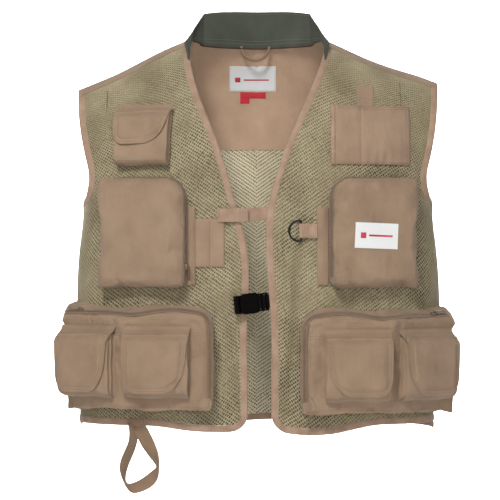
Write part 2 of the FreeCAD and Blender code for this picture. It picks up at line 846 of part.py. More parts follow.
def pouch_with_flap(name, frame, kind, drop):
    """An open-topped pouch and the flap that hinges above it and hangs over its front."""
    wall = size("pouch_wall")
    wide, high, deep = (size(f"{kind}_{word}") for word in ("width", "height", "depth"))
    gap = size("sewn_gap")
    outer = doc.addObject("Part::Box", f"{name}_outer")
    outer.setExpression("Length", f"dims.{kind}_width")
    outer.setExpression("Width", f"dims.{kind}_depth")
    outer.setExpression("Height", f"dims.{kind}_height")
    hollow = doc.addObject("Part::Box", f"{name}_hollow")
    hollow.setExpression("Length", f"dims.{kind}_width - 2 * dims.pouch_wall")
    hollow.setExpression("Width", f"dims.{kind}_depth - 2 * dims.pouch_wall")
    hollow.setExpression("Height", f"dims.{kind}_height")
    outer.Placement = moved(frame, -wide / 2, -deep - gap, -high / 2)
    hollow.Placement = moved(frame, -wide / 2 + wall, -deep - gap + wall, -high / 2 + wall)
    pouch = doc.addObject("Part::Cut", f"{name}_pouch")
    pouch.Base = outer
    pouch.Tool = hollow
    keep(pouch, f"{name}_pouch")

    thick = size("flap_thickness")
    hinge = flap_hinge_height(high)
    near = -gap - 0.6
    far = -deep - gap - 0.6
    shoulder = high / 2 - 6
    foot = hinge - drop
    profile = [
        (near, hinge + 1),
        (near, hinge - 2),
        (far, shoulder + 10),
        (far, foot),
        (far - thick, foot),
        (far - thick, shoulder + 11),
        (near - 1.6, hinge + 1),
    ]
    body = new_body(f"{name}_flap")
    sketch = polygon(sketch_on(body, "YZ_Plane", f"{name}_flap_profile"), profile)
    block = pad(body, sketch, f"dims.{kind}_width + 4", midplane=True)
    round_edges(
        body,
        block,
        "dims.flap_corner",
        lambda edge: runs_along(edge, Y_AXIS) and abs(edge.CenterOfMass.z - foot) < 0.01,
    )
    body.Placement = frame
    keep(body, f"{name}_flap")


CHEST_POUCH = moved(chest_frame(-159, -143), 0, -SEWN_ON - 2.2, -6)
pouch_with_flap("chest", CHEST_POUCH, "chest_pouch", size("chest_flap_drop"))

# --- Lower bags: a bent block with two front faces, one pouch on each --------------------------

# Plan of a lower bag without its sign: width from the centre line, distance from the mid plane.
BAG_PLAN = [(61, 60), (61, 151), (190, 136), (281, 74), (262, 14), (240, 5)]
LOWER = {"right": (-1, -530), "left": (1, -535)}


def plan_point(sign, place, z):
    """A point of the lower bag's plan at a height."""
    return Vector(sign * place[0], MID_Y - place[1], z)


def face_frame(sign, first, second, z):
    """Frame of one front face of a lower bag at its middle: X along it, -Y outwards."""
    a = plan_point(sign, first, z)
    b = plan_point(sign, second, z)
    across = (b - a).normalize() * sign
    return Placement((a + b) * 0.5, Rotation(across, Z_AXIS.cross(across), Z_AXIS, "ZXY"))


def sloped(frame, name):
    """A large block that cuts the sloping top above one front face."""
    tool = doc.addObject("Part::Box", name)
    tool.Length = 500
    tool.Width = 300
    tool.Height = 120
    tilt = Placement(Vector(), Rotation(X_AXIS, size("lower_bag_slope")))
    tool.Placement = frame.multiply(tilt).multiply(Placement(Vector(-250, -100, 0), Rotation()))
    return tool


def lower_bag(name, sign, foot):
    """One lower bag with its zipper, slider, pull, pouches and flaps."""
    top = foot + size("lower_bag_height")
    rim = top - 17
    points = [plan_point(sign, place, foot) for place in BAG_PLAN]
    block = doc.addObject("Part::Feature", f"{name}_lower_block")
    block.Shape = Part.Face(Part.makePolygon(points + points[:1])).extrude(Vector(0, 0, top - foot))
    faces = [face_frame(sign, BAG_PLAN[1], BAG_PLAN[2], rim), face_frame(sign, BAG_PLAN[2], BAG_PLAN[3], rim)]
    for number, frame in enumerate(faces):
        cut = doc.addObject("Part::Cut", f"{name}_lower_slope_{number}")
        cut.Base = block
        cut.Tool = sloped(frame, f"{name}_lower_roof_{number}")
        block = cut
    carved(f"{name}_lower_bag", block)

    slope = math.radians(size("lower_bag_slope"))
    up_slope = Vector(0, math.cos(slope), math.sin(slope))
    normal = Vector(0, -math.sin(slope), math.cos(slope))
    runs = []
    for frame, reach in zip(faces, (58, 48)):
        strip = Part.makeBox(2 * reach, size("tape_width"), size("tape_thickness"))
        start = Vector(-reach, 0, 0) + up_slope * 5 + normal * (size("sewn_gap") / 2)
        strip.Placement = frame.multiply(Placement(start, Rotation(X_AXIS, math.degrees(slope))))
        runs.append(strip)
    side = Part.makeBox(size("tape_thickness"), size("tape_width"), rim - foot - 20)
    near = plan_point(sign, (BAG_PLAN[1][0] - size("sewn_gap") / 2, BAG_PLAN[1][1] - 14), foot + 12)
    side.Placement = Placement(near - Vector((size("tape_thickness") if sign > 0 else 0), 0, 0), Rotation())
    runs.append(side)
    piece = doc.addObject("Part::Feature", f"{name}_lower_zipper")
    piece.Shape = Part.makeCompound(runs)
    keep(piece, f"{name}_lower_zipper")

    place = Vector(sign * 24, 0, 0) + up_slope * (5 + size("tape_width") / 2) + normal * TAPE_TOP
    zipper_slider(f"{name}_lower", slider_frame(faces[1], place, X_AXIS * sign, normal))

    centre = rim - 26 - size("pouch_height") / 2
    inner = face_frame(sign, BAG_PLAN[1], BAG_PLAN[2], centre)
    outer = face_frame(sign, BAG_PLAN[2], BAG_PLAN[3], centre)
    pouch_with_flap(f"{name}_inner", moved(inner, sign * 15), "pouch", size("flap_drop"))
    pouch_with_flap(f"{name}_outer", moved(outer, sign * 2), "pouch", size("flap_drop"))


for name, (sign, foot) in LOWER.items():
    lower_bag(name, sign, foot)

# --- Chest closure straps ---------------------------------------------------------------------

STRAP_Z = -256
top_strap, _ = plate("sternum_strap_right", "43", "dims.tab_width", "dims.strap_thickness")
top_strap.Placement = moved(chest_frame(-34, STRAP_Z, upright=True), 0, -SEWN_ON - 2.7, 0)
keep(top_strap, "sternum_strap_right")

low_start = chest_point(36, STRAP_Z + 4, -SEWN_ON - 2.6)
low_end = chest_point(-24, STRAP_Z, -0.6)
run = low_start - low_end
strap_run = str(round(run.Length, 3))
low_strap, _ = plate("sternum_strap_left", strap_run, "dims.tab_width", "dims.strap_thickness")
across = Vector(run).normalize()
back = Z_AXIS.cross(across).normalize()
low_strap.Placement = Placement((low_start + low_end) * 0.5, Rotation(across, back, across.cross(back), "ZXY"))
keep(low_strap, "sternum_strap_left")

# --- D-ring and its tab -----------------------------------------------------------------------


def d_ring(frame):
    """A D of round wire whose straight bar stands at the frame's origin."""
    body = new_body("d_ring")
    spine = sketch_on(body, "XZ_Plane", "d_ring_spine")
    bend = size("ring_corner")
    bow = size("ring_radius")
    bar = bow - bend
    lean = bend * math.sqrt(0.5)
    spine.addGeometry(Part.LineSegment(Vector(0, -bar, 0), Vector(0, bar, 0)), False)
    for turn in (1, -1):
        mid = Vector(-bend + lean, turn * (bar + lean), 0)
        arc = Part.Arc(Vector(0, turn * bar, 0), mid, Vector(-bend, turn * bow, 0))
        spine.addGeometry(arc, False)
    bowed = Part.Arc(Vector(-bend, bow, 0), Vector(-bend - bow, 0, 0), Vector(-bend, -bow, 0))
    spine.addGeometry(bowed, False)
    profile = sketch_on(body, "XY_Plane", "d_ring_profile")
    profile.addGeometry(Part.Circle(Vector(0, 0, 0), Z_AXIS, size("ring_wire")), False)
    doc.recompute()
    pipe = body.newObject("PartDesign::AdditivePipe", "d_ring_wire")
    pipe.Profile = profile
    pipe.Spine = (spine, [f"Edge{k}" for k in range(1, 5)])
    body.Placement = frame
    return keep(body, "d_ring")


def ring_tab(frame):
    """The folded webbing that holds the D-ring's bar."""
    body = new_body("ring_tab")
    bore = size("ring_wire") + 0.3
    wall = 1.2
    sketch = sketch_on(body, "XY_Plane", "ring_tab_section")
    edge = bore + wall
    sketch.addGeometry(Part.Arc(Vector(0, -edge, 0), Vector(-edge, 0, 0), Vector(0, edge, 0)), False)
    sketch.addGeometry(Part.LineSegment(Vector(0, edge, 0), Vector(23, edge, 0)), False)
    sketch.addGeometry(Part.LineSegment(Vector(23, edge, 0), Vector(23, edge - 2.6, 0)), False)
    sketch.addGeometry(Part.LineSegment(Vector(23, edge - 2.6, 0), Vector(7, edge - 2.6, 0)), False)
    sketch.addGeometry(Part.LineSegment(Vector(7, edge - 2.6, 0), Vector(0, -edge, 0)), False)
    sketch.addGeometry(Part.Circle(Vector(0, 0, 0), Z_AXIS, bore), False)
    doc.recompute()
    pad(body, sketch, "2 * (dims.ring_radius - dims.ring_corner) - 1", midplane=True)
    body.Placement = frame
    return keep(body, "ring_tab")


ring_place = chest_frame(62, -278, upright=True)
RING = moved(ring_place, 0, -SEWN_ON - size("ring_wire") - 1.5, 0)
d_ring(RING)
ring_tab(RING)

# --- Side-release buckle ----------------------------------------------------------------------

BUCKLE_YAW = 20
BUCKLE_TILT = -6
BUCKLE = Placement(
    chest_point(-7.5, -380, 6.2),
    Rotation(Z_AXIS, BUCKLE_YAW).multiply(Rotation(Y_AXIS, BUCKLE_TILT)),
)
SOCKET_START, SOCKET_MOUTH = -25, 7.5
PLUG_START, PLUG_END = 8.0, 24.5
SLOT_HALF = size("strap_width") / 2 + 0.5


def slot(body, name, x0, x1, half):
    """A rectangular opening through the thickness of a buckle piece."""
    sketch = polygon(sketch_on(body, "XZ_Plane", name), [(x0, -half), (x1, -half), (x1, half), (x0, half)])
    doc.recompute()
    return cut_through(body, sketch)


def buckle_socket():
    """The socket: a hollow shell open at its mouth and at the sides near the mouth."""
    body = new_body("buckle_socket")
    tall = size("buckle_half_height")
    low = size("buckle_webbing") / 2
    outline = [(SOCKET_START, -low), (-14, -low), (-12, -tall), (SOCKET_MOUTH, -tall)]
    outline += [(x, -z) for x, z in reversed(outline)]
    sketch = polygon(sketch_on(body, "XZ_Plane", "socket_outline"), outline)
    block = pad(body, sketch, "dims.buckle_thickness", midplane=True)
    round_edges(body, block, "1.2", lambda edge: runs_along(edge, Y_AXIS))
    slot(body, "socket_webbing_slot", -21.5, -18, SLOT_HALF)
    for name, x0, half in (("hollow", -12, tall - 2.4), ("windows", -6, tall + 1)):
        cavity = polygon(
            sketch_on(body, "XZ_Plane", f"socket_{name}"),
            [(x0, -half), (SOCKET_MOUTH + 1, -half), (SOCKET_MOUTH + 1, half), (x0, half)],
        )
        doc.recompute()
        feature = body.newObject("PartDesign::Pocket", f"socket_{name}_cut")
        feature.Profile = cavity
        feature.Midplane = True
        feature.setExpression("Length", "dims.buckle_thickness - 3.2")
    body.Placement = BUCKLE
    return keep(body, "buckle_socket")


def buckle_plug():
    """The plug: a two-slot webbing bar and the tongue that guides it into the socket."""
    body = new_body("buckle_plug")
    low = size("buckle_webbing") / 2
    outline = [(-9, -2.2), (PLUG_START, -2.2), (PLUG_START, -low), (PLUG_END, -low)]
    outline += [(x, -z) for x, z in reversed(outline)]
    sketch = polygon(sketch_on(body, "XZ_Plane", "plug_outline"), outline)
    pad(body, sketch, "dims.buckle_thickness - 4", midplane=True)
    slot(body, "plug_slot_near", 11.5, 14.5, SLOT_HALF)
    slot(body, "plug_slot_far", 18, 21, SLOT_HALF)
    body.Placement = BUCKLE
    return keep(body, "buckle_plug")


def buckle_prong(name, sign):
    """One springy arm of the plug with the button that shows in the socket's side."""
    body = new_body(name)
    outline = [(7.6, 5), (7.6, 8), (3.5, 9.5), (3, 13.6), (-4, 13.6), (-5.5, 9.5), (-8, 7.5), (-8, 5)]
    sketch = polygon(sketch_on(body, "XZ_Plane", f"{name}_outline"), [(x, sign * z) for x, z in outline])
    pad(body, sketch, "dims.buckle_thickness - 4", midplane=True)
    body.Placement = BUCKLE
    return keep(body, name)


buckle_socket()
buckle_plug()
buckle_prong("buckle_prong_upper", 1)
buckle_prong("buckle_prong_lower", -1)
plug_strap, _ = plate("buckle_webbing_left", "34", "dims.strap_width", "dims.strap_thickness")
plug_strap.Placement = moved(BUCKLE, PLUG_END + 0.4 + 17, 0.4, 0)
keep(plug_strap, "buckle_webbing_left")
socket_strap, _ = plate("buckle_webbing_right", "14", "dims.strap_width", "dims.strap_thickness")
socket_strap.Placement = moved(chest_frame(-27, -382, upright=True), 0, -SEWN_ON - 0.2, 0)
keep(socket_strap, "buckle_webbing_right")

# --- Hang loop and rod loop -------------------------------------------------------------------


def hang_loop():
    """The half ring of tape sewn into the neck seam inside the back."""
    body = new_body("hang_loop")
    sketch = sketch_on(body, "XZ_Plane", "hang_loop_outline")
    big = size("loop_radius")
    small = big - size("loop_band")
    sketch.addGeometry(Part.Arc(Vector(-big, 0, 0), Vector(0, -big, 0), Vector(big, 0, 0)), False)
    sketch.addGeometry(Part.LineSegment(Vector(big, 0, 0), Vector(small, 0, 0)), False)
    sketch.addGeometry(Part.Arc(Vector(small, 0, 0), Vector(0, -small, 0), Vector(-small, 0, 0)), False)
    sketch.addGeometry(Part.LineSegment(Vector(-small, 0, 0), Vector(-big, 0, 0)), False)
    doc.recompute()
    pad(body, sketch, "dims.loop_thickness")
    body.Placement = Placement(Vector(-2, -4.2, -1.5), Rotation())
    return keep(body, "hang_loop")


def rod_loop():
    """The long loop of webbing that hangs from the hem."""
    body = new_body("rod_loop")
    sketch = sketch_on(body, "XZ_Plane", "rod_loop_outline")
    drop = size("rod_loop_length")
    band = size("rod_loop_band")
    for inset in (0, band):
        wide = size("rod_loop_width") / 2 - inset * 0.8
        round_z = -drop + size("rod_loop_width") / 2
        peak = 9 - inset * 0.3
        top = 0 if inset == 0 else -20
        points = [(-peak, top), (-wide, round_z), (wide, round_z), (peak, top)]
        a, b, c, d = (Vector(x, z, 0) for x, z in points)
        sketch.addGeometry(Part.LineSegment(a, b), False)
        sketch.addGeometry(Part.Arc(b, Vector(0, -drop + inset, 0), c), False)
        sketch.addGeometry(Part.LineSegment(c, d), False)
        sketch.addGeometry(Part.LineSegment(d, a), False)
    doc.recompute()
    pad(body, sketch, "2 * dims.strap_thickness", midplane=True)
    anchor = chest_point(-171, HEM + 1)
    body.Placement = Placement(Vector(-168, anchor.y, HEM - 3), Rotation(Z_AXIS, -14))
    return keep(body, "rod_loop")


hang_loop()
rod_loop()

# --- Check every object, then write the parts -------------------------------------------------

doc.recompute()
problems = []
for item in doc.Objects:
    if "Invalid" in item.State or "Error" in item.State:
        problems.append(f"{item.Name}: {item.State}")
for piece in nodes:
    shape = piece.Shape
    if shape.isNull() or not shape.isValid() or not shape.Solids or shape.Volume <= 0:
        problems.append(f"{piece.Label}: no valid solid")
if problems:
    raise RuntimeError("; ".join(problems))
for piece in nodes:
    piece.Shape.exportStep(f"parts/{piece.Label}.step")
    print(f"{piece.Label}: {piece.Shape.Volume / 1000:.1f} cm3, {len(piece.Shape.Solids)} solid(s)")
print(len(nodes), "parts written")
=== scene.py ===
import math
import bpy
import numpy as np
from mathutils import Matrix, Vector
from mathutils.bvhtree import BVHTree


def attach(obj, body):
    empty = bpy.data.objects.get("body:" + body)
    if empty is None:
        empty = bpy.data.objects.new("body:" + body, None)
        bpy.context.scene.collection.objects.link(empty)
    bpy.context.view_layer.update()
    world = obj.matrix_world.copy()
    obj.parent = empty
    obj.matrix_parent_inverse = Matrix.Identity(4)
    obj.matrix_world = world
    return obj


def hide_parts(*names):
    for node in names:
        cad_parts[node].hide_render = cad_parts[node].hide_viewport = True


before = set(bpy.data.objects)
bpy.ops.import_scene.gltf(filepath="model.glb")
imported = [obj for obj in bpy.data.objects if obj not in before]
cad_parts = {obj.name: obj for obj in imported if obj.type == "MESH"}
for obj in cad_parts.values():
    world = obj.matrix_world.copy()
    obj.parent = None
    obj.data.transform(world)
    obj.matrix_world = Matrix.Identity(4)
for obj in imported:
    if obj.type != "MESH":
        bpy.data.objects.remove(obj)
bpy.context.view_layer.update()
rng = np.random.default_rng(7)
MM = 0.001
VEST = "vest"

# --- The torso surface, in millimetres --------------------------------------------------------

FRONT, BACK = 1, -1
DEPTH = {FRONT: 120.0, BACK: 115.0}
HALF, POWER, MID_Y, DOME = 257.0, 2.6, -66.0, 200.0
ROUND = DOME * math.pi / 2
UNROLL = 250.0
WIDEST = UNROLL * math.pi / 2
HEM, BAND, YOKE, UNDERARM = -562.0, 10.0, -148.0, -252.0
NECK_X, SHOULDER_X, SIDE_X = 98.0, 248.0, 300.0
RIDGE_TOP, RIDGE_FALL = 41, 0.405


def smooth(x, low, high):
    """A soft step from 0 to 1 between two values."""
    t = np.clip((np.asarray(x, float) - low) / (high - low), 0, 1)
    return t * t * (3 - 2 * t)


def bump(x, centre, width):
    """A soft hump of height 1."""
    return np.exp(-(((np.asarray(x, float) - centre) / width) ** 2))


def unit(vectors):
    return vectors / np.linalg.norm(vectors, axis=-1, keepdims=True)


def lengths(points):
    """Distance along a path from its start to each of its points."""
    return np.concatenate([[0], np.cumsum(np.linalg.norm(np.diff(points, axis=0), axis=1))])


def half_width(z):
    """Half the torso's width: drawn in round the underarms, wider at the shoulders."""
    return HALF - 10 * bump(z, -235, 70) + 11 * smooth(z, -200, -70)


def ridge_z(x):
    """Height of the shoulder ridge, which falls away from the neck."""
    return RIDGE_TOP - RIDGE_FALL * np.abs(x)


def unroll(x, z):
    """Flat places of the torso's skin: a turn about its upright axis, and a length down from the ridge."""
    x, z = np.asarray(x, float), np.asarray(z, float)
    inside = np.minimum(np.abs(x), half_width(z))
    angle = np.sign(x) * np.arcsin((inside / half_width(z)) ** (POWER / 2))
    drop = np.maximum(0, ridge_z(inside) - z)
    length = np.where(drop < DOME, DOME * np.arccos(np.clip(1 - drop / DOME, -1, 1)), ROUND + drop - DOME)
    return np.stack([angle * UNROLL, length], -1)


def surface(flat, side):
    """Points of the even torso surface at flat places."""
    angle = np.clip(flat[..., 0] / UNROLL, -math.pi / 2, math.pi / 2)
    length = np.maximum(flat[..., 1], 0)
    share = np.abs(np.sin(angle)) ** (2 / POWER)
    domed = length < ROUND
    drop = np.where(domed, DOME * (1 - np.cos(length / DOME)), DOME + length - ROUND)
    swell = np.where(domed, np.sin(length / DOME), 1)
    x = HALF * share
    for _ in range(5):
        z = ridge_z(x) - drop
        x = half_width(z) * share
    reach = DEPTH[side] * swell * np.maximum(0, np.cos(angle)) ** (2 / POWER)
    return np.stack([np.sign(angle) * x, MID_Y - side * reach, z], -1)


def ripple(point, side):
    """How far the worn cloth stands off the even torso surface, in millimetres."""
    x, z = point[..., 0], point[..., 2]
    if side == BACK:
        low = smooth(-z, 170, 420)
        wave = np.sin(x / 33 + 0.6) * 2.6 + np.sin(x / 17 - z / 160) * 1.2 + np.sin(z / 45 + x / 60) * 0.8
        return wave * low * (1 - 0.7 * smooth(-z, 520, 562))
    left = bump(x, -46, 17) * smooth(-z, 285, 360) * (1 - 0.6 * smooth(-z, 520, 560))
    right = bump(x, 44, 15) * smooth(-z, 190, 280) * (1 - 0.5 * smooth(-z, 500, 560))
    folds = left * (3.4 + 3.8 * np.sin(x / 7.0 + z / 60)) + right * (2.6 + 3.6 * np.sin(x / 6.0 - z / 55))
    hem = smooth(-z, 520, 562) * (np.sin(x / 21) * 1.4 + np.sin(x / 9 + 1) * 0.4) * (np.abs(x) < 150)
    chest = bump(z, -120, 45) * bump(np.abs(x), 120, 60) * np.sin(x / 19 + z / 23) * 0.8
    return folds + hem + chest


def hem_rise(x, side):
    """How far the worn hem stands above its even line, in millimetres."""
    if side == BACK:
        return 3.0 * np.sin(x / 60)
    right = 8.0 * smooth(-x, 70, 160)
    return right + 9.0 * smooth(x, 105, 180) - 5.0 * bump(x, 80, 40)


def shoulder_fall(x):
    """How far the worn shoulders drop below the even ridge: the right one more at its tip."""
    return 10.0 * smooth(-x, 115, 240) + 3.0 * bump(x, 165, 45)


def side_reach(x):
    """How far the worn sides stand out past the even body, more on the left."""
    return 7.5 * smooth(x, 190, 240) - 4.5 * smooth(-x, 190, 240)


def tangents(flat, side):
    """Steps across and down the torso surface at each place, kept off its sides and its ridge."""
    mid = np.clip(flat, [-WIDEST + 2, 3], [WIDEST - 2, np.inf])
    across = surface(mid + [1, 0], side) - surface(mid - [1, 0], side)
    down = surface(mid + [0, 1], side) - surface(mid - [0, 1], side)
    return across, down


def lifted(flat, side, lift):
    """Points that stand a lift away from the worn torso surface."""
    across, down = tangents(flat, side)
    normal = unit(np.cross(down, across) * side)
    at_side = np.abs(flat[..., 0]) > WIDEST - 2
    normal[at_side] = np.sign(flat[at_side][:, :1]) * [1, 0, 0]
    point = surface(flat, side)
    worn = point + normal * (np.asarray(lift) + ripple(point, side))[..., None]
    x, z = point[..., 0], point[..., 2]
    worn[..., 2] += hem_rise(x, side) * smooth(-z, 490, 556) - shoulder_fall(x) * (1 - smooth(-z, 70, 170))
    worn[..., 0] += side_reach(x) * (1 - smooth(-z, 420, 500))
    return worn


def on_chest(x, z, lift=0.0, side=FRONT):
    flat = unroll(np.array([x], float), np.array([z], float))
    return lifted(flat, side, lift)[0]


def chest_frame(x, z, upright=False):
    """Matrix in millimetres: X along the chest, -Y outwards, Z up it."""
    flat = unroll(np.array([x], float), np.array([z], float))
    across, down = tangents(flat, FRONT)
    out = Vector(np.cross(down[0], across[0])).normalized()
    if upright:
        out = Vector((out.x, out.y, 0)).normalized()
    side = Vector((-out.y, out.x, 0)).normalized()
    up = side.cross(-out)
    return placed(surface(flat, FRONT)[0], side, -out, up)


def placed(origin, x_axis, y_axis, z_axis):
    turn = Matrix((x_axis, y_axis, z_axis)).transposed().to_4x4()
    return Matrix.Translation(Vector(origin)) @ turn


def moved(matrix, x=0.0, y=0.0, z=0.0):
    return matrix @ Matrix.Translation((x, y, z))


def through(matrix, points):
    """Local millimetre points carried to the row frame, still in millimetres."""
    m = np.array(matrix)
    return np.asarray(points, float) @ m[:3, :3].T + m[:3, 3]


# --- Edges and patches ------------------------------------------------------------------------


def spline(points, shares):
    """Natural cubic spline through points, sampled at shares of its chord length."""
    points = np.asarray(points, float)
    knots = lengths(points)
    n, h = len(points), np.diff(knots)
    if n == 2:
        return points[0] + (points[1] - points[0]) * np.asarray(shares)[..., None]
    a = np.eye(n)
    b = np.zeros_like(points)
    for k in range(1, n - 1):
        a[k, k - 1], a[k, k], a[k, k + 1] = h[k - 1], 2 * (h[k - 1] + h[k]), h[k]
        b[k] = 6 * ((points[k + 1] - points[k]) / h[k] - (points[k] - points[k - 1]) / h[k - 1])
    bend = np.linalg.solve(a, b)
    t = np.asarray(shares, float) * knots[-1]
    k = np.clip(np.searchsorted(knots, t, side="right") - 1, 0, n - 2)
    left, right, width = (t - knots[k])[..., None], (knots[k + 1] - t)[..., None], h[k][..., None]
    value = (bend[k] * right**3 + bend[k + 1] * left**3) / (6 * width)
    value += (points[k] / width - bend[k] * width / 6) * right
    return value + (points[k + 1] / width - bend[k + 1] * width / 6) * left


def edge(places):
    """A smooth line through (x, z) places, as a function of its share that gives flat places."""
    flat = unroll(*np.asarray(places, float).T)

    def at(share):
        value = spline(flat, share)
        return np.clip(value, [-WIDEST, 0], [WIDEST, 1e4])

    return at


def level(x0, x1, z):
    """A line round the torso at one height."""
    first, last = unroll(np.array([x0, x1]), np.array([z, z]))[:, 0]

    def at(share):
        u = first + (last - first) * np.asarray(share, float)
        width = half_width(z) * np.abs(np.sin(u / UNROLL)) ** (2 / POWER)
        return np.stack([u, unroll(width, np.full_like(width, z))[..., 1]], -1)

    return at


def straight(first, last):
    return lambda share: first + (last - first) * np.asarray(share, float)[..., None]


def part(line, first, last):
    return lambda share: line(first + (last - first) * np.asarray(share, float))


def joined(first, second, split):
    """Two lines as one that changes over at a share."""
    def at(share):
        share = np.asarray(share, float)
        near = first(np.clip(share / split, 0, 1))
        far = second(np.clip((share - split) / (1 - split), 0, 1))
        return np.where((share < split)[..., None], near, far)

    return at


def first_share(line, test):
    """The share of a line where a test first holds."""
    shares = np.linspace(0, 1, 2001)
    return shares[np.argmax(test(line(shares)))]


def patch(bottom, top, start, end, columns, rows):
    """A grid of places filled in between four edges."""
    s = np.linspace(0, 1, columns)[None, :, None]
    t = np.linspace(0, 1, rows)[:, None, None]
    lo, hi = bottom(s[0, :, 0])[None], top(s[0, :, 0])[None]
    le, ri = start(t[:, 0, 0])[:, None], end(t[:, 0, 0])[:, None]
    ruled = lo * (1 - t) + hi * t + le * (1 - s) + ri * s
    corner = (lo[:, :1] * (1 - s) + lo[:, -1:] * s) * (1 - t) + (hi[:, :1] * (1 - s) + hi[:, -1:] * s) * t
    return ruled - corner


FRONT_EDGES = {
    "right": [(-13, HEM), (-14, -420), (-15, -300), (-28, -249), (-56, -153), (-92, -52), (-97, -20)],
    "left": [(20, HEM), (20, -420), (20, -222), (28, -196), (43, -153), (86, -52), (97, -20)],
}
ARMHOLE = {
    FRONT: [(234, -228), (228.5, -204), (233, -172), (240, -135), (245, -90)],
    BACK: [(236, -228), (231, -204), (235, -165), (241, -125), (245, -90)],
}


def ridge_line(x0, x1, low):
    drop = DOME * (1 - math.cos(low / DOME))
    return [(x, float(ridge_z(x)) - drop) for x in np.linspace(x0, x1, 5)]


def armhole_rim(sign, side):
    """The cut edge of an armhole from its foot at the side up to the shoulder."""
    foot, crest = [(SIDE_X, UNDERARM), (244.5, -241)], (SHOULDER_X, float(ridge_z(SHOULDER_X)) - 0.0001)
    return edge([(sign * x, z) for x, z in foot + ARMHOLE[side] + [crest]])


def side_edge(sign, side, passed):
    """The side seam, then the armhole up to where passed first holds."""
    hole = armhole_rim(sign, side)
    hole = part(hole, 0, first_share(hole, passed))
    foot = np.array([sign * WIDEST, unroll(SIDE_X, HEM + BAND)[1]])
    return joined(straight(foot, hole(np.array([0.0]))[0]), hole, 0.6)


# --- Meshes -----------------------------------------------------------------------------------


def new_mesh(name, verts_mm, faces, body=VEST, material=None, slots=None, uv=None, sharp=None):
    mesh = bpy.data.meshes.new(name)
    mesh.from_pydata((np.asarray(verts_mm, float) * MM).tolist(), [], faces)
    mesh.polygons.foreach_set("use_smooth", [True] * len(mesh.polygons))
    if uv is not None:
        layer = mesh.uv_layers.new(name="UVMap")
        loops = np.empty(len(mesh.loops), dtype=np.int64)
        mesh.loops.foreach_get("vertex_index", loops)
        layer.data.foreach_set("uv", (np.asarray(uv, float) * MM)[loops].ravel())
    mesh.update()
    if sharp:
        mesh.set_sharp_from_angle(angle=math.radians(sharp))
    obj = bpy.data.objects.new(name, mesh)
    bpy.context.scene.collection.objects.link(obj)
    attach(obj, body)
    if material:
        for item in material if isinstance(material, (list, tuple)) else [material]:
            mesh.materials.append(item)
    if slots is not None:
        mesh.polygons.foreach_set("material_index", list(slots))
    return obj


def grid_faces(rows, columns, start=0, flip=False, wrap=False):
    """Four-sided faces over a grid of vertices; wrap joins its last column to its first."""
    i, j = np.meshgrid(np.arange(rows - 1), np.arange(columns if wrap else columns - 1), indexing="ij")
    k = (j + 1) % columns
    a, b, c, d = i * columns + j, i * columns + k, (i + 1) * columns + k, (i + 1) * columns + j
    quads = np.stack([a, d, c, b] if flip else [a, b, c, d], -1).reshape(-1, 4) + start
    return quads.tolist()


def skins(name, grids, sharp=60, node=None, **kw):
    """Closed skins as one mesh, each from (outer, inner, uv) grids; it may stand for a CAD node."""
    verts, faces, uvs, start = [], [], [], 0
    for outer, inner, uv in grids:
        rows, columns = outer.shape[:2]
        n = rows * columns
        i, j = rows // 2, columns // 2
        normal = np.cross(outer[i, j - 1] - outer[i, j], outer[i - 1, j] - outer[i, j])
        flip = np.dot(normal, outer[i, j] - inner[i, j]) < 0
        faces += grid_faces(rows, columns, start, flip) + grid_faces(rows, columns, start + n, not flip)
        rim = [(0, j) for j in range(columns)] + [(i, columns - 1) for i in range(1, rows)]
        rim += [(rows - 1, j) for j in range(columns - 2, -1, -1)] + [(i, 0) for i in range(rows - 2, 0, -1)]
        ids = [start + i * columns + j for i, j in rim]
        for p, q in zip(ids, ids[1:] + ids[:1]):
            faces.append([p, q, n + q, n + p] if flip else [q, p, n + p, n + q])
        verts += [outer.reshape(-1, 3), inner.reshape(-1, 3)]
        uvs += [uv.reshape(-1, 2)] * 2
        start += 2 * n
    obj = new_mesh(name, np.concatenate(verts), faces, uv=np.concatenate(uvs), sharp=sharp, **kw)
    if node:
        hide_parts(node)
    return obj


def cloth(name, edges, lifts, side, columns, rows, **kw):
    """A piece of cloth on the torso between four edges, from one lift to another."""
    flat = patch(*edges, columns, rows)
    return skins(name, [(lifted(flat, side, lifts[1]), lifted(flat, side, lifts[0]), flat)], sharp=50, **kw)


def ribbon(name, centre, across, up, wide, thick, **kw):
    """A strip of webbing along a path: rounded edges, crosswise ribs left to the material."""
    u = np.array([-1, -0.94, -0.5, 0, 0.5, 0.94, 1])
    h = np.array([0.35, 1, 1, 1, 1, 1, 0.35]) * thick / 2
    mid = centre[:, None] + across[:, None] * (u * wide / 2)[None, :, None]
    lift = up[:, None] * h[None, :, None]
    uv = np.stack(np.broadcast_arrays(u[None] * wide / 2, lengths(centre)[:, None]), -1)
    return skins(name, [(mid + lift, mid - lift, uv)], sharp=50, **kw)


def taken(rows, run, spots):
    """Rows of three numbers taken at spots of a path, from where they stand along it."""
    return np.stack([np.interp(spots, run, rows[:, k]) for k in range(3)], -1)


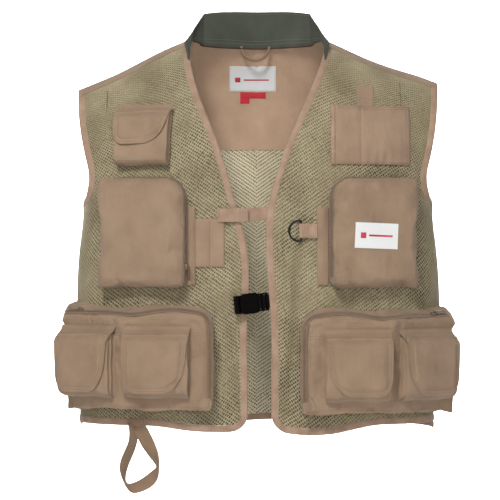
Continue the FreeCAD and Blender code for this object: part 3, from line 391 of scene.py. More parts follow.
def stitches(name, runs, material, body=VEST, pitch=3.4, long=2.5, thick=0.45):
    """Rows of thread along paths given as (points, outward normals), in millimetres."""
    verts, faces = [], []
    for points, normals in runs:
        points, normals = np.asarray(points, float), np.asarray(normals, float)
        run = lengths(points)
        if run[-1] < pitch:
            continue
        spots = np.arange(pitch / 2, run[-1], pitch)
        ends = [taken(points, run, np.clip(spots + d, 0, run[-1])) for d in (-long / 2, 0, long / 2)]
        up = unit(taken(normals, run, spots))
        side = unit(np.cross(ends[2] - ends[0], up))
        for a, m, b, n, s in zip(*ends, up, side):
            k = len(verts)
            sunk = n * thick * 0.5
            verts += [a - sunk, m + s * thick, m + n * thick * 0.9, m - s * thick, b - sunk]
            faces += [(k, k + 1, k + 2), (k, k + 2, k + 3), (k + 4, k + 2, k + 1), (k + 4, k + 3, k + 2)]
    if not verts:
        return None
    return new_mesh(name, verts, faces, body=body, material=material)


def ray_tree(obj):
    mesh = obj.data
    return BVHTree.FromPolygons([v.co / MM for v in mesh.vertices], [p.vertices[:] for p in mesh.polygons])


def inwards(matrix):
    """Direction of a frame's own Y axis, which runs towards the vest."""
    return (matrix.to_3x3() @ Vector((0, 1, 0))).normalized()


def dropped(obj, places, matrix, depth=-60.0, lift=0.1):
    """Local front-view places dropped along the local Y axis onto a piece."""
    tree, towards = ray_tree(obj), inwards(matrix)
    points, normals = [], []
    for x, z in places:
        hit, normal, _, _ = tree.ray_cast(matrix @ Vector((x, depth, z)), towards)
        if hit is None:
            continue
        normal = normal if normal.dot(towards) < 0 else -normal
        points.append(hit + normal * lift)
        normals.append(normal)
    return points, normals


def rounded(places, radius, closed=False, steps=6):
    """A polyline with its corners rounded, as dense places."""
    places = [np.asarray(p, float) for p in places]
    out = []
    n = len(places)
    for k, p in enumerate(places):
        if not closed and k in (0, n - 1):
            out.append(p)
            continue
        a, b = places[k - 1], places[(k + 1) % n]
        r = min(radius, np.linalg.norm(a - p) * 0.48, np.linalg.norm(b - p) * 0.48)
        first, last = p + unit(a - p) * r, p + unit(b - p) * r
        for t in np.linspace(0, 1, steps):
            out.append(first * (1 - t) ** 2 + 2 * p * t * (1 - t) + last * t * t)
    if closed:
        out.append(out[0])
    dense = []
    for a, b in zip(out, out[1:]):
        count = max(1, int(np.linalg.norm(b - a) / 2.5))
        dense += [a + (b - a) * k / count for k in range(count)]
    return dense + [out[-1]]


# --- Materials --------------------------------------------------------------------------------


def linear(colour):
    """A colour socket's value from display red, green and blue of 0 to 255."""
    return tuple(((c / 255 + 0.055) / 1.055) ** 2.4 if c > 10 else c / 255 / 12.92 for c in colour) + (1,)


class Nodes:
    """Small helper that wires one material."""

    def __init__(self, name, rough=0.85, sheen=0.0, metal=0.0, spec=0.5):
        self.material = bpy.data.materials.new(name)
        self.material.use_nodes = True
        self.tree = self.material.node_tree
        self.shader = self.tree.nodes["Principled BSDF"]
        values = {"Roughness": rough, "Sheen Weight": sheen, "Metallic": metal, "Specular IOR Level": spec}
        for socket, value in values.items():
            self.shader.inputs[socket].default_value = value

    def add(self, kind, **settings):
        node = self.tree.nodes.new(kind)
        for key, value in settings.items():
            if key in node.inputs:
                node.inputs[key].default_value = value
            else:
                setattr(node, key, value)
        return node

    def link(self, a, b):
        self.tree.links.new(a, b)

    def coords(self, kind="Object", scale=(1, 1, 1)):
        source = self.add("ShaderNodeTexCoord")
        mapping = self.add("ShaderNodeMapping")
        mapping.inputs["Scale"].default_value = scale
        self.link(source.outputs[kind], mapping.inputs["Vector"])
        return mapping.outputs["Vector"]

    def noise(self, scale, detail=3.0, vector=None, rough=0.55):
        node = self.add("ShaderNodeTexNoise", Scale=scale, Detail=detail, Roughness=rough)
        self.link(vector or self.coords(), node.inputs["Vector"])
        return node.outputs["Fac"]

    def wave(self, scale, vector, direction="DIAGONAL"):
        node = self.add("ShaderNodeTexWave", Scale=scale, Distortion=0.0, bands_direction=direction)
        node.inputs["Detail"].default_value = 0
        self.link(vector, node.inputs["Vector"])
        return node.outputs["Fac"]

    def math(self, operation, a, b):
        node = self.add("ShaderNodeMath", operation=operation)
        for socket, value in zip(node.inputs, (a, b)):
            if isinstance(value, (int, float)):
                socket.default_value = value
            else:
                self.link(value, socket)
        return node.outputs[0]

    def times(self, a, b):
        return self.math("MULTIPLY", a, b)

    def mix(self, share, a, b):
        node = self.add("ShaderNodeMix", data_type="RGBA", blend_type="MIX")
        for index, value in ((0, share), (6, a), (7, b)):
            if isinstance(value, tuple):
                value = linear(value)
            if isinstance(value, (int, float, tuple)):
                node.inputs[index].default_value = value
            else:
                self.link(value, node.inputs[index])
        return node.outputs[2]

    def ramp(self, share, stops):
        node = self.add("ShaderNodeValToRGB")
        while len(node.color_ramp.elements) < len(stops):
            node.color_ramp.elements.new(0.5)
        for element, (place, colour) in zip(node.color_ramp.elements, stops):
            element.position = place
            element.color = linear(colour)
        self.link(share, node.inputs["Fac"])
        return node.outputs["Color"]

    def bump(self, height, strength, distance, below=None):
        node = self.add("ShaderNodeBump", Strength=strength, Distance=distance)
        self.link(height, node.inputs["Height"])
        if below:
            self.link(below, node.inputs["Normal"])
        return node.outputs["Normal"]

    def finish(self, colour, normal=None, rough=None):
        self.link(colour, self.shader.inputs["Base Color"])
        if normal:
            self.link(normal, self.shader.inputs["Normal"])
        if rough:
            self.link(rough, self.shader.inputs["Roughness"])
        return self.material


def twill(name, colour, dark, light, crease=0.5, scale=1.0, sheen=0.15):
    """Brushed cotton twill: fine diagonal ribs, slubs, soft creases and slight fading."""
    n = Nodes(name, rough=0.88, sheen=sheen)
    body = n.coords()
    stretched = n.coords(scale=(1, 1, 0.45))
    tone = n.noise(26 * scale, 4, body)
    base = n.ramp(tone, [(0.3, dark), (0.5, colour), (0.72, light)])
    fleck = n.noise(900, 2, body)
    base = n.mix(n.times(fleck, 0.22), base, light)
    ribs = n.wave(320, body)
    base = n.mix(n.times(ribs, 0.10), base, dark)
    folds = n.bump(n.noise(34 * scale, 3, stretched, 0.45), crease, 0.010)
    pucker = n.bump(n.noise(150, 3, body), 0.30, 0.0016, folds)
    weave = n.bump(n.math("ADD", ribs, n.times(fleck, 0.8)), 0.35, 0.00035, pucker)
    return n.finish(base, weave)


def webbing(name, colour, dark, pitch=520, sheen=0.1):
    """Woven tape: crosswise ribs with a herringbone of finer threads."""
    n = Nodes(name, rough=0.8, sheen=sheen)
    uv = n.coords("UV")
    ribs = n.wave(pitch, uv, "Y")
    fine = n.wave(pitch * 1.7, uv, "X")
    woven = n.times(ribs, n.math("ADD", n.times(fine, 0.5), 0.5))
    tone = n.noise(60, 3)
    base = n.mix(n.times(tone, 0.7), colour, dark)
    base = n.mix(n.times(woven, 0.35), base, dark)
    return n.finish(base, n.bump(woven, 0.6, 0.0005))


def thread_material(name, colour, light):
    n = Nodes(name, rough=0.6, sheen=0.1)
    base = n.mix(n.noise(70, 3), colour, light)
    return n.finish(base, n.bump(n.noise(2200, 2), 0.3, 0.0002))


def plastic(name, colour, light, rough, spec):
    n = Nodes(name, rough=rough, spec=spec)
    base = n.mix(n.times(n.noise(40, 3), 0.5), colour, light)
    worn = n.math("ADD", n.times(n.noise(90, 3), 0.18), rough - 0.09)
    return n.finish(base, n.bump(n.noise(700, 3), 0.12, 0.0003), worn)


def metal(name, colour, light):
    n = Nodes(name, rough=0.38, metal=0.75)
    base = n.mix(n.noise(160, 4), colour, light)
    worn = n.math("ADD", n.times(n.noise(120, 3), 0.25), 0.25)
    return n.finish(base, n.bump(n.noise(900, 3), 0.15, 0.0002), worn)


def net_material(name, dull, bright):
    """Knitted polyester netting thread."""
    n = Nodes(name, rough=0.55, sheen=0.25, spec=0.45)
    base = n.ramp(n.noise(22, 3), [(0.3, dull), (0.7, bright)])
    return n.finish(base, n.bump(n.noise(1800, 2), 0.4, 0.0003))


def mottled_material(name, dark, lighter, scale=45):
    n = Nodes(name, rough=0.95)
    base = n.ramp(n.noise(scale, 4), [(0.3, dark), (0.75, lighter)])
    return n.finish(base, n.bump(n.noise(1200, 2), 0.4, 0.0004))


def label_material(name, colour):
    """Fine woven label cloth."""
    n = Nodes(name, rough=0.7, sheen=0.1)
    uv = n.coords("UV")
    fine = n.wave(900, uv, "X")
    base = n.mix(n.times(fine, 0.08), colour, (150, 152, 155))
    return n.finish(base, n.bump(fine, 0.3, 0.0002))


TAN = twill("tan_twill", (150, 125, 102), (139, 115, 93), (159, 134, 111))
# Painted light: the yoke's twill is a lighter copy of the same cloth, making up for the shade inside the
# neck.
TAN_YOKE_LIT = twill("tan_twill_yoke_painted_light", (182, 151, 125), (173, 143, 118), (190, 160, 134), crease=0.3)
# Painted shade: the bag, pouch, flap and flat-patch twills are darker copies of the same cloth, each toned
# for how the light falls on its part.
TAN_BAG_SHADED = twill("tan_twill_bag_painted_shade", (141, 117, 94), (130, 107, 86), (150, 126, 103), crease=0.55)
TAN_LOW_SHADED = twill("tan_twill_lower_painted_shade", (141, 117, 94), (129, 106, 84), (151, 126, 103), crease=0.6)
TAN_FLAP_SHADED = twill("tan_twill_flap_painted_shade", (140, 116, 93), (129, 106, 84), (150, 125, 102), crease=0.45)
TAN_FLAT_SHADED = twill("tan_twill_flat_painted_shade", (147, 122, 100), (137, 113, 92), (156, 131, 109), crease=0.35)
TAPE = twill("binding_tape", (153, 126, 105), (138, 112, 92), (165, 139, 118), crease=0.35, scale=2.2)
COLLAR = twill("collar_cloth", (64, 67, 56), (57, 60, 50), (72, 76, 64), crease=0.3, sheen=0.03)
NET = net_material("net_thread", (138, 126, 96), (168, 156, 125))
# Painted light: the same netting thread made lighter for the inside of the back net, which sits in the
# vest's shade.
NET_IN_LIT = net_material("net_thread_inside_painted_light", (198, 186, 153), (222, 211, 180))
# Painted shade: a dark mottled sheet under the front nets, standing in for the shade seen through their
# holes.
FRONT_NET_SHADE = mottled_material("front_net_painted_shade", (66, 56, 36), (132, 120, 90), 14)
# Painted shade: a near-black sheet behind the back net, standing in for the shade seen through its holes.
SHADE = mottled_material("back_net_painted_shade", (42, 35, 22), (58, 49, 33))
THREAD = thread_material("tan_thread", (92, 72, 54), (118, 96, 76))
THREAD_OLIVE = thread_material("olive_thread", (70, 74, 60), (112, 118, 100))
WEB_TAN = webbing("tan_webbing", (158, 130, 104), (112, 90, 68))
WEB_BLACK = webbing("black_webbing", (15, 12, 16), (7, 5, 8), sheen=0.0)
ZIP_TAPE = webbing("zipper_tape", (146, 121, 98), (112, 91, 72), pitch=900)
COIL = thread_material("zipper_coil", (92, 74, 56), (130, 108, 86))
BLACK = plastic("black_buckle", (5, 3, 4), (9, 7, 8), 0.6, 0.06)
RING = plastic("ring_enamel", (10, 8, 7), (20, 17, 14), 0.42, 0.3)
SLIDER = metal("slider_enamel", (120, 102, 84), (164, 144, 122))
WHITE = label_material("white_label", (222, 223, 222))
RED = label_material("red_label", (198, 22, 44))
PIPING = mottled_material("neck_piping", (52, 38, 26), (78, 60, 44))
MARK = mottled_material("label_mark", (170, 40, 60), (196, 70, 88))

# --- Mesh panels, dark sheets of painted shade behind them, yoke and bound edges --------------

PITCH = 5.6
STRIP = 65.0
DIAMOND = np.array([(1, 0), (0.5, 0.5), (0, 1), (-0.5, 0.5), (-1, 0), (-0.5, -0.5), (0, -1), (0.5, -0.5)])


def front_edges(sign, name, inward, foot, low):
    """Bottom, top, front and side edges of a front panel."""
    places = [(x + sign * inward, z) for x, z in FRONT_EDGES[name]]
    places[0] = (places[0][0], foot)
    places[-1] = ridge_line(sign * (NECK_X + 3), sign * SHOULDER_X, low)[0]
    start = edge(places)
    end = side_edge(sign, FRONT, lambda flat: flat[..., 1] < low)
    tips = [line(np.array([1.0]))[0] for line in (start, end)]
    return level(places[0][0], sign * SIDE_X, foot), straight(*tips), start, end


def back_height(flat):
    return surface(flat, BACK)[..., 2]


def back_edges(top, foot):
    """Bottom, top and side edges of the back panel."""
    sides = [side_edge(sign, BACK, lambda flat: back_height(flat) > top) for sign in (-1, 1)]
    wide = surface(sides[1](np.array([1.0])), BACK)[0, 0]
    return level(-SIDE_X, SIDE_X, foot), level(-wide, wide, top), sides[0], sides[1]


def outline_of(edges):
    """The closed outline of four edges, in flat places."""
    t = np.linspace(0, 1, 260)
    bottom, top, start, end = (line(t) for line in edges)
    return np.concatenate([bottom, end, top[::-1], start[::-1]])


def inside(points, polygon):
    """Which points are inside a closed polygon, by counting crossings."""
    result = np.zeros(len(points), bool)
    x, y = points.T
    for (x0, y0), (x1, y1) in zip(polygon, np.roll(polygon, -1, 0)):
        if y0 == y1:
            continue
        crosses = (y0 > y) != (y1 > y)
        result ^= crosses & (x < (x1 - x0) * (y - y0) / (y1 - y0) + x0)
    return result


def netting(name, side, edges, lifts, points=8, hole=0.58, spread=4.0, material=NET):
    """Knitted netting: one diamond of thread round every hole."""
    u = np.linspace(-WIDEST, WIDEST, 4001)
    ring = surface(np.stack([u, np.full_like(u, 520.0)], -1), side)
    run = lengths(ring)
    run -= run[2000]
    outline = outline_of(edges)
    outline = np.stack([np.interp(outline[:, 0], u, run), outline[:, 1]], -1)
    half = PITCH / 2
    low, high = np.floor(outline.min(0) / half) - 2, np.ceil(outline.max(0) / half) + 2
    i, j = np.meshgrid(np.arange(low[0], high[0]), np.arange(low[1], high[1]), indexing="ij")
    centres = np.stack([i[(i + j) % 2 == 0], j[(i + j) % 2 == 0]], -1)
    places = centres * half
    keep = inside(places, outline)
    for dx, dy in DIAMOND[::2]:
        keep |= inside(places + [dx * spread, dy * spread], outline)
    centres = centres[keep]
    around = DIAMOND if points == 8 else DIAMOND[::2]
    rim = np.rint((centres[:, None] + around[None]) * 2).astype(int)
    unique, index = np.unique(rim.reshape(-1, 2), axis=0, return_inverse=True)
    index = index.reshape(len(centres), points)
    size = hole * (1 + 0.10 * rng.standard_normal(len(centres)))
    shift = 0.06 * rng.standard_normal((len(centres), 2))
    round_in = around * np.where(np.abs(around).max(1) < 0.9, 1.18, 0.96)[:, None]
    holes = centres[:, None] + shift[:, None] + round_in[None] * size[:, None, None]
    flat = np.concatenate([unique / 2, holes.reshape(-1, 2)]) * half
    flat = np.stack([np.interp(flat[:, 0], run, u), np.maximum(flat[:, 1], 0)], -1)
    lift = np.concatenate([np.full(len(unique), lifts[1]), np.full(holes.shape[0] * points, lifts[0])])
    verts = lifted(flat, side, lift)
    base = len(unique) + np.arange(len(centres))[:, None] * points
    following = np.roll(np.arange(points), -1)
    inner = base + np.arange(points)
    quads = np.stack([index, index[:, following], inner[:, following], inner], -1).reshape(-1, 4)
    a, b, c = verts[quads[0, 0]], verts[quads[0, 1]], verts[quads[0, 2]]
    outward = surface(flat[quads[0, :1]], side)[0] - [0, MID_Y, 0]
    outward[2] = 0
    if np.dot(np.cross(b - a, c - b), outward) * (1 if lifts[1] > lifts[0] else -1) < 0:
        quads = quads[:, ::-1]
    return new_mesh(name, verts, quads.tolist(), material=material)


BOUND_IN = np.array([0, 0.6, 2.0, 4.8, 7.6, 9.2, 9.9])
BOUND_UP = np.array([0.45, 1.2, 1.65, 1.8, 1.65, 1.35, 1.05])


def puckered(run, pucker):
    """Half thickness of a bound edge along its run, most uneven in the middle, and its UVs."""
    lift = BOUND_UP[None] + pucker[:, None] * np.sin(np.pi * BOUND_IN / BOUND_IN[-1])[None]
    return lift, np.stack(np.broadcast_arrays(BOUND_IN[None], run[:, None]), -1)


def bound(lines, side, phase, count):
    """A folded tape over an edge, from lines that run at each distance into the cloth."""
    t = np.linspace(0, 1, count)
    flat = np.stack([line(t) for line in lines], 1)
    run = lengths(surface(flat[:, 3], side))
    lift, uv = puckered(run, 0.22 * np.sin(run / 3.1 + phase) + 0.2 * np.sin(run / 8.3 + 2 * phase)
                        + 0.15 * np.sin(run / 1.7))
    return lifted(flat, side, lift), lifted(flat, side, -lift), uv


def armhole_bound(line, side, sign, count=200):
    """The armhole's tape: it stands out from the edge of the cloth, turned towards the side."""
    flat = line(np.linspace(0, 1, count))
    start = lifted(flat, side, np.zeros(count))
    run = unit(np.gradient(start, axis=0))
    normal = lifted(flat, side, np.ones(count)) - start
    out = np.cross(run, normal)
    out *= np.sign((out * [sign, 0, 0.3]).sum(-1, keepdims=True))
    out *= [1, 0.22, 1]
    out = unit(out - run * (out * run).sum(-1, keepdims=True))
    up = np.cross(out, run)
    up *= np.sign((up * normal).sum(-1, keepdims=True))
    along = lengths(start)
    lift, uv = puckered(along, 0.22 * np.sin(along / 3.1) + 0.2 * np.sin(along / 8.3))
    mid = start[:, None] + out[:, None] * (BAND - 0.6 - BOUND_IN)[None, :, None]
    return mid + up[:, None] * lift[..., None], mid - up[:, None] * lift[..., None], uv


HEM_CURVE, HEM_LAP = 26.0, 8.0


def front_line(sign, name, inward):
    """The front edge from the neck down, round the lower corner and on to the hem tape."""
    x = FRONT_EDGES[name][0][0]
    places = [(px + sign * inward, z) for px, z in FRONT_EDGES[name][:0:-1]]
    places += [(x + sign * inward, z) for z in (-500, -530)]
    for angle in np.radians([0, 22, 45, 68, 90]):
        reach = HEM_CURVE - inward
        aside, down = HEM_CURVE - reach * math.cos(angle), HEM_CURVE - reach * math.sin(angle)
        places.append((x + sign * aside, HEM + down))
    places.append((x + sign * (HEM_CURVE + HEM_LAP), HEM + inward))
    return edge(places)


for name, sign in (("right", -1), ("left", 1)):
    edges = front_edges(sign, name, BAND, HEM + BAND, STRIP + 1)
    # A dark sheet of painted shade under the net; it stands for the front panel.
    cloth(f"{name}_front_shade_sheet", edges, (-0.9, -0.4), FRONT, 60, 120,
          material=FRONT_NET_SHADE, node=f"{name}_front_panel")
    netting(f"{name}_front_net", FRONT, edges, (0.1, 0.9))

    low = STRIP + 2
    start = edge([ridge_line(sign * (NECK_X + 2), sign * SHOULDER_X, d)[0] for d in (low, 1)])
    rim = armhole_rim(sign, FRONT)
    last = first_share(rim, lambda flat: flat[..., 1] < 1)
    end = part(rim, first_share(rim, lambda flat: flat[..., 1] < low), last)
    foot, crest = (straight(*(line(np.array([s]))[0] for line in (start, end))) for s in (0.0, 1.0))
    cloth(f"{name}_shoulder_cloth", (foot, crest, start, end), (-1.2, 1.5), FRONT, 60, 10,
          material=TAN, node=f"{name}_shoulder_strip")

    lines = [front_line(sign, name, d) for d in BOUND_IN]
    tape = bound(lines, FRONT, sign, 420)
    skins(f"{name}_front_tape", [tape], material=TAPE, node=f"{name}_front_binding")

    halves = []
    for side in (FRONT, BACK):
        rim = armhole_rim(sign, side)
        last = first_share(rim, lambda flat: flat[..., 1] < 1)
        halves.append(armhole_bound(part(rim, 0, last), side, sign))
    skins(f"{name}_armhole_tape", halves, material=TAPE, node=f"{name}_armhole_binding")

lap = HEM_CURVE + HEM_LAP - 1
runs = [(FRONT_EDGES["right"][0][0] - lap, -SIDE_X, FRONT), (FRONT_EDGES["left"][0][0] + lap, SIDE_X, FRONT),
        (-SIDE_X, SIDE_X, BACK)]
grids = [bound([level(x0, x1, HEM + d) for d in BOUND_IN], side, x0 / 50, 400) for x0, x1, side in runs]
skins("hem_tape", grids, material=TAPE, node="hem_binding")

edges = back_edges(YOKE, HEM + BAND)
# A dark sheet of painted shade under the back nets; it stands for the back panel.
cloth("back_shade_sheet", edges, (-0.3, 0.3), BACK, 110, 90, material=SHADE, node="back_panel")
netting("back_net", BACK, edges, (0.5, 1.2), points=4)
# The inner back net uses the lighter thread: painted light on the net inside the vest.
netting("back_net_inner", BACK, edges, (-0.5, -1.2), points=4, hole=0.52, material=NET_IN_LIT)

YOKE_FOOT = YOKE - 6
ends = []
for sign in (-1, 1):
    rim = armhole_rim(sign, BACK)
    first = first_share(rim, lambda flat: back_height(flat) > YOKE_FOOT)
    ends.append(part(rim, first, first_share(rim, lambda flat: flat[..., 1] < 1)))
wide, shoulder = (surface(ends[1](np.array([s])), BACK)[0, 0] for s in (0.0, 1.0))
crest = [(0, -1.6), (20, -3.6), (40, -4.6), (60, -4.0), (84, -0.8)] + ridge_line(NECK_X + 6, shoulder, 1)
crest = edge([(-x, z) for x, z in crest[:0:-1]] + crest)
# The yoke wears the lighter twill: painted light inside the neck.
cloth("yoke_cloth", (level(-wide, wide, YOKE_FOOT), crest, *ends), (-1.7, 1.6), BACK, 120, 40,
      material=TAN_YOKE_LIT, node="back_yoke")

# --- Collar, piping, labels and loops ---------------------------------------------------------


def collar_foot(x, z):
    """A point where the collar is sewn on, just inside the yoke; depth counts from mid-vest."""
    return (x, float(surface(unroll(np.array([x]), np.array([z])), BACK)[0, 1]) - MID_Y - 2.6, z)


COLLAR_BACK = [(0.0, -4.0), (25.0, -4.0), (50.0, -3.6), (66.0, -3.2), (79.0, -2.6)]
COLLAR_SEWN = [collar_foot(x, z) for x, z in COLLAR_BACK] + [(92, 6, 0), (97, -38, -11), (97, -71, -40)]
COLLAR_TOP = [(0, 80, 51.5), (56, 77, 51), (79, 62, 47), (87, 36, 31), (97, -6, 10), (104, -50, -5)]


def collar_line(half, corner, count):
    """The collar's edge across the back and down both sides, creased at its back corners."""
    side = spline(np.array(half[corner:], float), np.linspace(0, 1, count))
    back = np.array([(-x, y, z) for x, y, z in half[corner:0:-1]] + half[:corner + 1], float)
    back = spline(back, np.linspace(0, 1, count * 2))
    mirrored = side[::-1] * [-1, 1, 1]
    return np.concatenate([mirrored[:-1], back, side[1:]]) + [0, MID_Y, 0]


sewn, top = collar_line(COLLAR_SEWN, 4, 40), collar_line(COLLAR_TOP, 2, 40)
rows = np.linspace(0, 1, 24)[:, None, None]
middle = sewn[None] * (1 - rows) + top[None] * rows
run = np.gradient(middle, axis=1)
out = unit(np.cross(run, np.broadcast_to(top - sewn, middle.shape)))
along = np.linspace(0, 1, middle.shape[1])[None]
share = rows[..., 0]
thick = 1.5 * np.sqrt(np.clip(1 - (np.abs(share - 0.5) * 2) ** 10, 0.05, 1)) + 0 * along
quilt = 0.35 * np.sin(along * 150 + share * 9) * np.sin(np.pi * share) * 0.6
bulge = 1.6 * np.sin(np.pi * share) * np.sin(along * 21 + 0.5)
centre = middle + out * bulge[..., None]
uv = np.stack(np.broadcast_arrays(along * 500, share * 55), -1)
half = out * (thick + quilt)[..., None]
skins("collar_cloth", [(centre + half, centre - half, uv)], material=COLLAR, sharp=24, node="collar")
seams = []
faces = [(centre + face * out * (thick + 0.15)[..., None], face * out) for face in (1, -1)]
for height in (0.10, 0.19, 0.93):
    row = height * 23
    k, f = int(row), row - int(row)
    for skin, normals in faces:
        line = skin[k] * (1 - f) + skin[k + 1] * f
        seams.append((line[3:-3], normals[k, 3:-3]))
for column in (6, -7):
    for skin, normals in faces:
        seams.append((skin[2:-2, column], normals[2:-2, column]))
stitches("collar_stitching", seams, THREAD_OLIVE)


def tube(name, path, radius, material, around=8):
    """A round cord along a path of millimetre points."""
    path = np.asarray(path, float)
    along = unit(np.gradient(path, axis=0))
    side = unit(np.cross(along, [0.13, 0.27, 0.95]))
    up = np.cross(side, along)
    a = np.linspace(0, 2 * np.pi, around, endpoint=False)
    ring = side[:, None] * np.cos(a)[None, :, None] + up[:, None] * np.sin(a)[None, :, None]
    verts = (path[:, None] + ring * radius).reshape(-1, 3)
    faces = grid_faces(len(path), around, wrap=True)
    faces += [list(range(around)), [len(verts) - 1 - k for k in range(around)]]
    return new_mesh(name, verts, faces, material=material, sharp=60)


tube("neck_piping", sewn[36:-36] + [0, -2.4, -0.8], 1.3, PIPING)


def flat_piece(name, box, lift, side, material, columns=24, rows=20, relief=None, **kw):
    """A thin patch sewn on the torso; relief is a function of its shares across and up."""
    x0, x1, z0, z1 = box
    x, z = np.meshgrid(np.linspace(x0, x1, columns), np.linspace(z0, z1, rows))
    s, t = (x - x0) / (x1 - x0), (z - z0) / (z1 - z0)
    flat = unroll(x, z)
    rim = np.minimum(np.minimum(s, 1 - s) * (x1 - x0), np.minimum(t, 1 - t) * (z1 - z0))
    edge_drop = 1 - np.clip(rim / 1.6, 0, 1)
    height = lift[1] - np.sign(lift[1] - lift[0]) * edge_drop * 0.45 * abs(lift[1] - lift[0])
    if relief is not None:
        height = height + relief(s, t)
    uv = np.stack([x - (x0 + x1) / 2, z - (z0 + z1) / 2], -1)
    outer, inner = lifted(flat, side, height), lifted(flat, side, np.full_like(height, lift[0]))
    return skins(name, [(outer, inner, uv)], material=material, **kw)


NECK_LABEL = (-41, 29, -66, -29)
flat_piece("neck_label_cloth", NECK_LABEL, (-1.9, -2.9), BACK, WHITE, 40, 24, node="neck_label")
flat_piece("size_tag_cloth", (-25, 14, -76, -67), (-1.9, -2.9), BACK, RED, 24, 12, node="size_tag")
flat_piece("size_tag_end", (-25, -11, -84, -74.5), (-1.8, -2.5), BACK, RED, 12, 10)
flat_piece("label_bar", (-20, 19, -49.5, -47.5), (-2.8, -3.3), BACK, MARK, 24, 4)
flat_piece("label_dot", (-33, -25, -52, -45), (-2.8, -3.3), BACK, MARK, 10, 8)


def place_box(box, inward):
    x0, x1, z0, z1 = box
    x0, x1, z0, z1 = x0 + inward, x1 - inward, z0 + inward, z1 - inward
    return [(x0, z0), (x1, z0), (x1, z1), (x0, z1)]


def torso_seam(places, side, lift, closed=False):
    dense = np.array(rounded(places, 0.1, closed=closed))
    flat = unroll(dense[:, 0], dense[:, 1])
    low, high = lifted(flat, side, lift), lifted(flat, side, lift + np.sign(lift or 1))
    return low, high - low


label_seam = torso_seam(place_box(NECK_LABEL, 1.4), BACK, -3.0, True)
stitches("label_stitching", [label_seam], THREAD, pitch=3, long=2, thick=0.28)

HANG_RADIUS, HANG_BEND, HANG_SIDES = 2.1, 20.75, 14
HANG_AT = np.array([-2, -5.0, -1.5])
angles = np.linspace(math.pi, 2 * math.pi, 60)
mid = np.stack([np.cos(angles), 0 * angles, np.sin(angles)], -1)
around = np.linspace(0, 2 * math.pi, HANG_SIDES, endpoint=False)
across, depth = np.cos(around) * HANG_RADIUS, np.sin(around) * HANG_RADIUS
loop = mid[:, None] * (HANG_BEND + across)[None, :, None] + np.array([0, 1, 0]) * (1 + depth)[None, :, None]
verts = (loop + HANG_AT).reshape(-1, 3)
faces = grid_faces(len(angles), HANG_SIDES, wrap=True)
faces += [list(range(HANG_SIDES)), [len(verts) - 1 - k for k in range(HANG_SIDES)]]
uv = np.stack(np.broadcast_arrays(across[None], (angles * HANG_BEND)[:, None]), -1).reshape(-1, 2)
hang = new_mesh("hang_loop_tape", verts, faces, body="hang_loop", material=WEB_TAN, uv=uv, sharp=60)
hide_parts("hang_loop")

# The rod loop: outer and inner edge (X, Z) and how much nearer the viewer the outer edge stands.
ROD_SECTIONS = [
    (-183, -549, -169, -549, 14), (-182, -575, -170.5, -579, 16), (-189, -592, -176, -596, 15),
    (-194, -606, -180.5, -606, 15), (-191, -627, -187, -628, 19.5), (-183.5, -642, -184, -637.5, 17.5),
    (-167.5, -648.5, -166, -631, 9.5), (-152, -642, -156, -624, 7), (-142, -631.5, -147.5, -617.5, 13),
    (-138.5, -613, -143.5, -611.5, 19.4), (-138.5, -599, -150.5, -602, 16), (-142, -585, -159, -590.5, 9),
    (-150.5, -566.5, -167.5, -576, 4), (-162, -549, -177, -551, 10),
]
sections = np.array(ROD_SECTIONS, float)
hem_y = on_chest(-171, HEM + 1)[1]
shares = np.linspace(0, 1, 140)
x0, z0, x1, z1, nearer = sections.T
mid = np.stack([(x0 + x1) / 2, 0 * x0, (z0 + z1) / 2], -1)
cross = np.stack([x1 - x0, nearer, z1 - z0], -1)
both = spline(np.concatenate([mid, cross], 1), shares)
mid, cross = both[:, :3], unit(both[:, 3:])
up = unit(np.cross(cross, np.gradient(mid, axis=0)))
mid = mid + [0, hem_y + 1.5, 0] + np.array([0, -1, 0]) * (shares * 2.6)[:, None]
ribbon("rod_loop_webbing", mid, cross, up, 20, 1.5, body="rod_loop", material=WEB_TAN, node="rod_loop")
flat_piece("rod_loop_tack_cloth", (-183, -160, -561, -552), (1.9, 3.3), FRONT, WEB_TAN, 16, 10,
           node="rod_loop_tack")

# --- Bags: padded shells blown up a little from their solids ----------------------------------


def applied(obj):
    """Turn an object's modifiers into its mesh."""
    mesh = bpy.data.meshes.new_from_object(obj.evaluated_get(bpy.context.evaluated_depsgraph_get()))
    obj.modifiers.clear()
    obj.data = mesh


def remeshed(name, source, size):
    """A fresh even mesh over a carried-over solid."""
    obj = bpy.data.objects.new(name, source.data.copy())
    bpy.context.scene.collection.objects.link(obj)
    mod = obj.modifiers.new("even", "REMESH")
    mod.mode, mod.voxel_size = "VOXEL", size
    applied(obj)
    return obj


def coords_mm(mesh):
    flat = np.empty(len(mesh.vertices) * 3)
    mesh.vertices.foreach_get("co", flat)
    return flat.reshape(-1, 3) / MM


def set_coords_mm(mesh, points):
    mesh.vertices.foreach_set("co", (np.asarray(points) * MM).ravel())
    mesh.update()


PUFF_FRAMES, PUFF_PRESSURE, PUFF_SHRINK, PUFF_STRETCH, PUFF_BENDING = 16, 4.0, 0.04, 9, 0.35


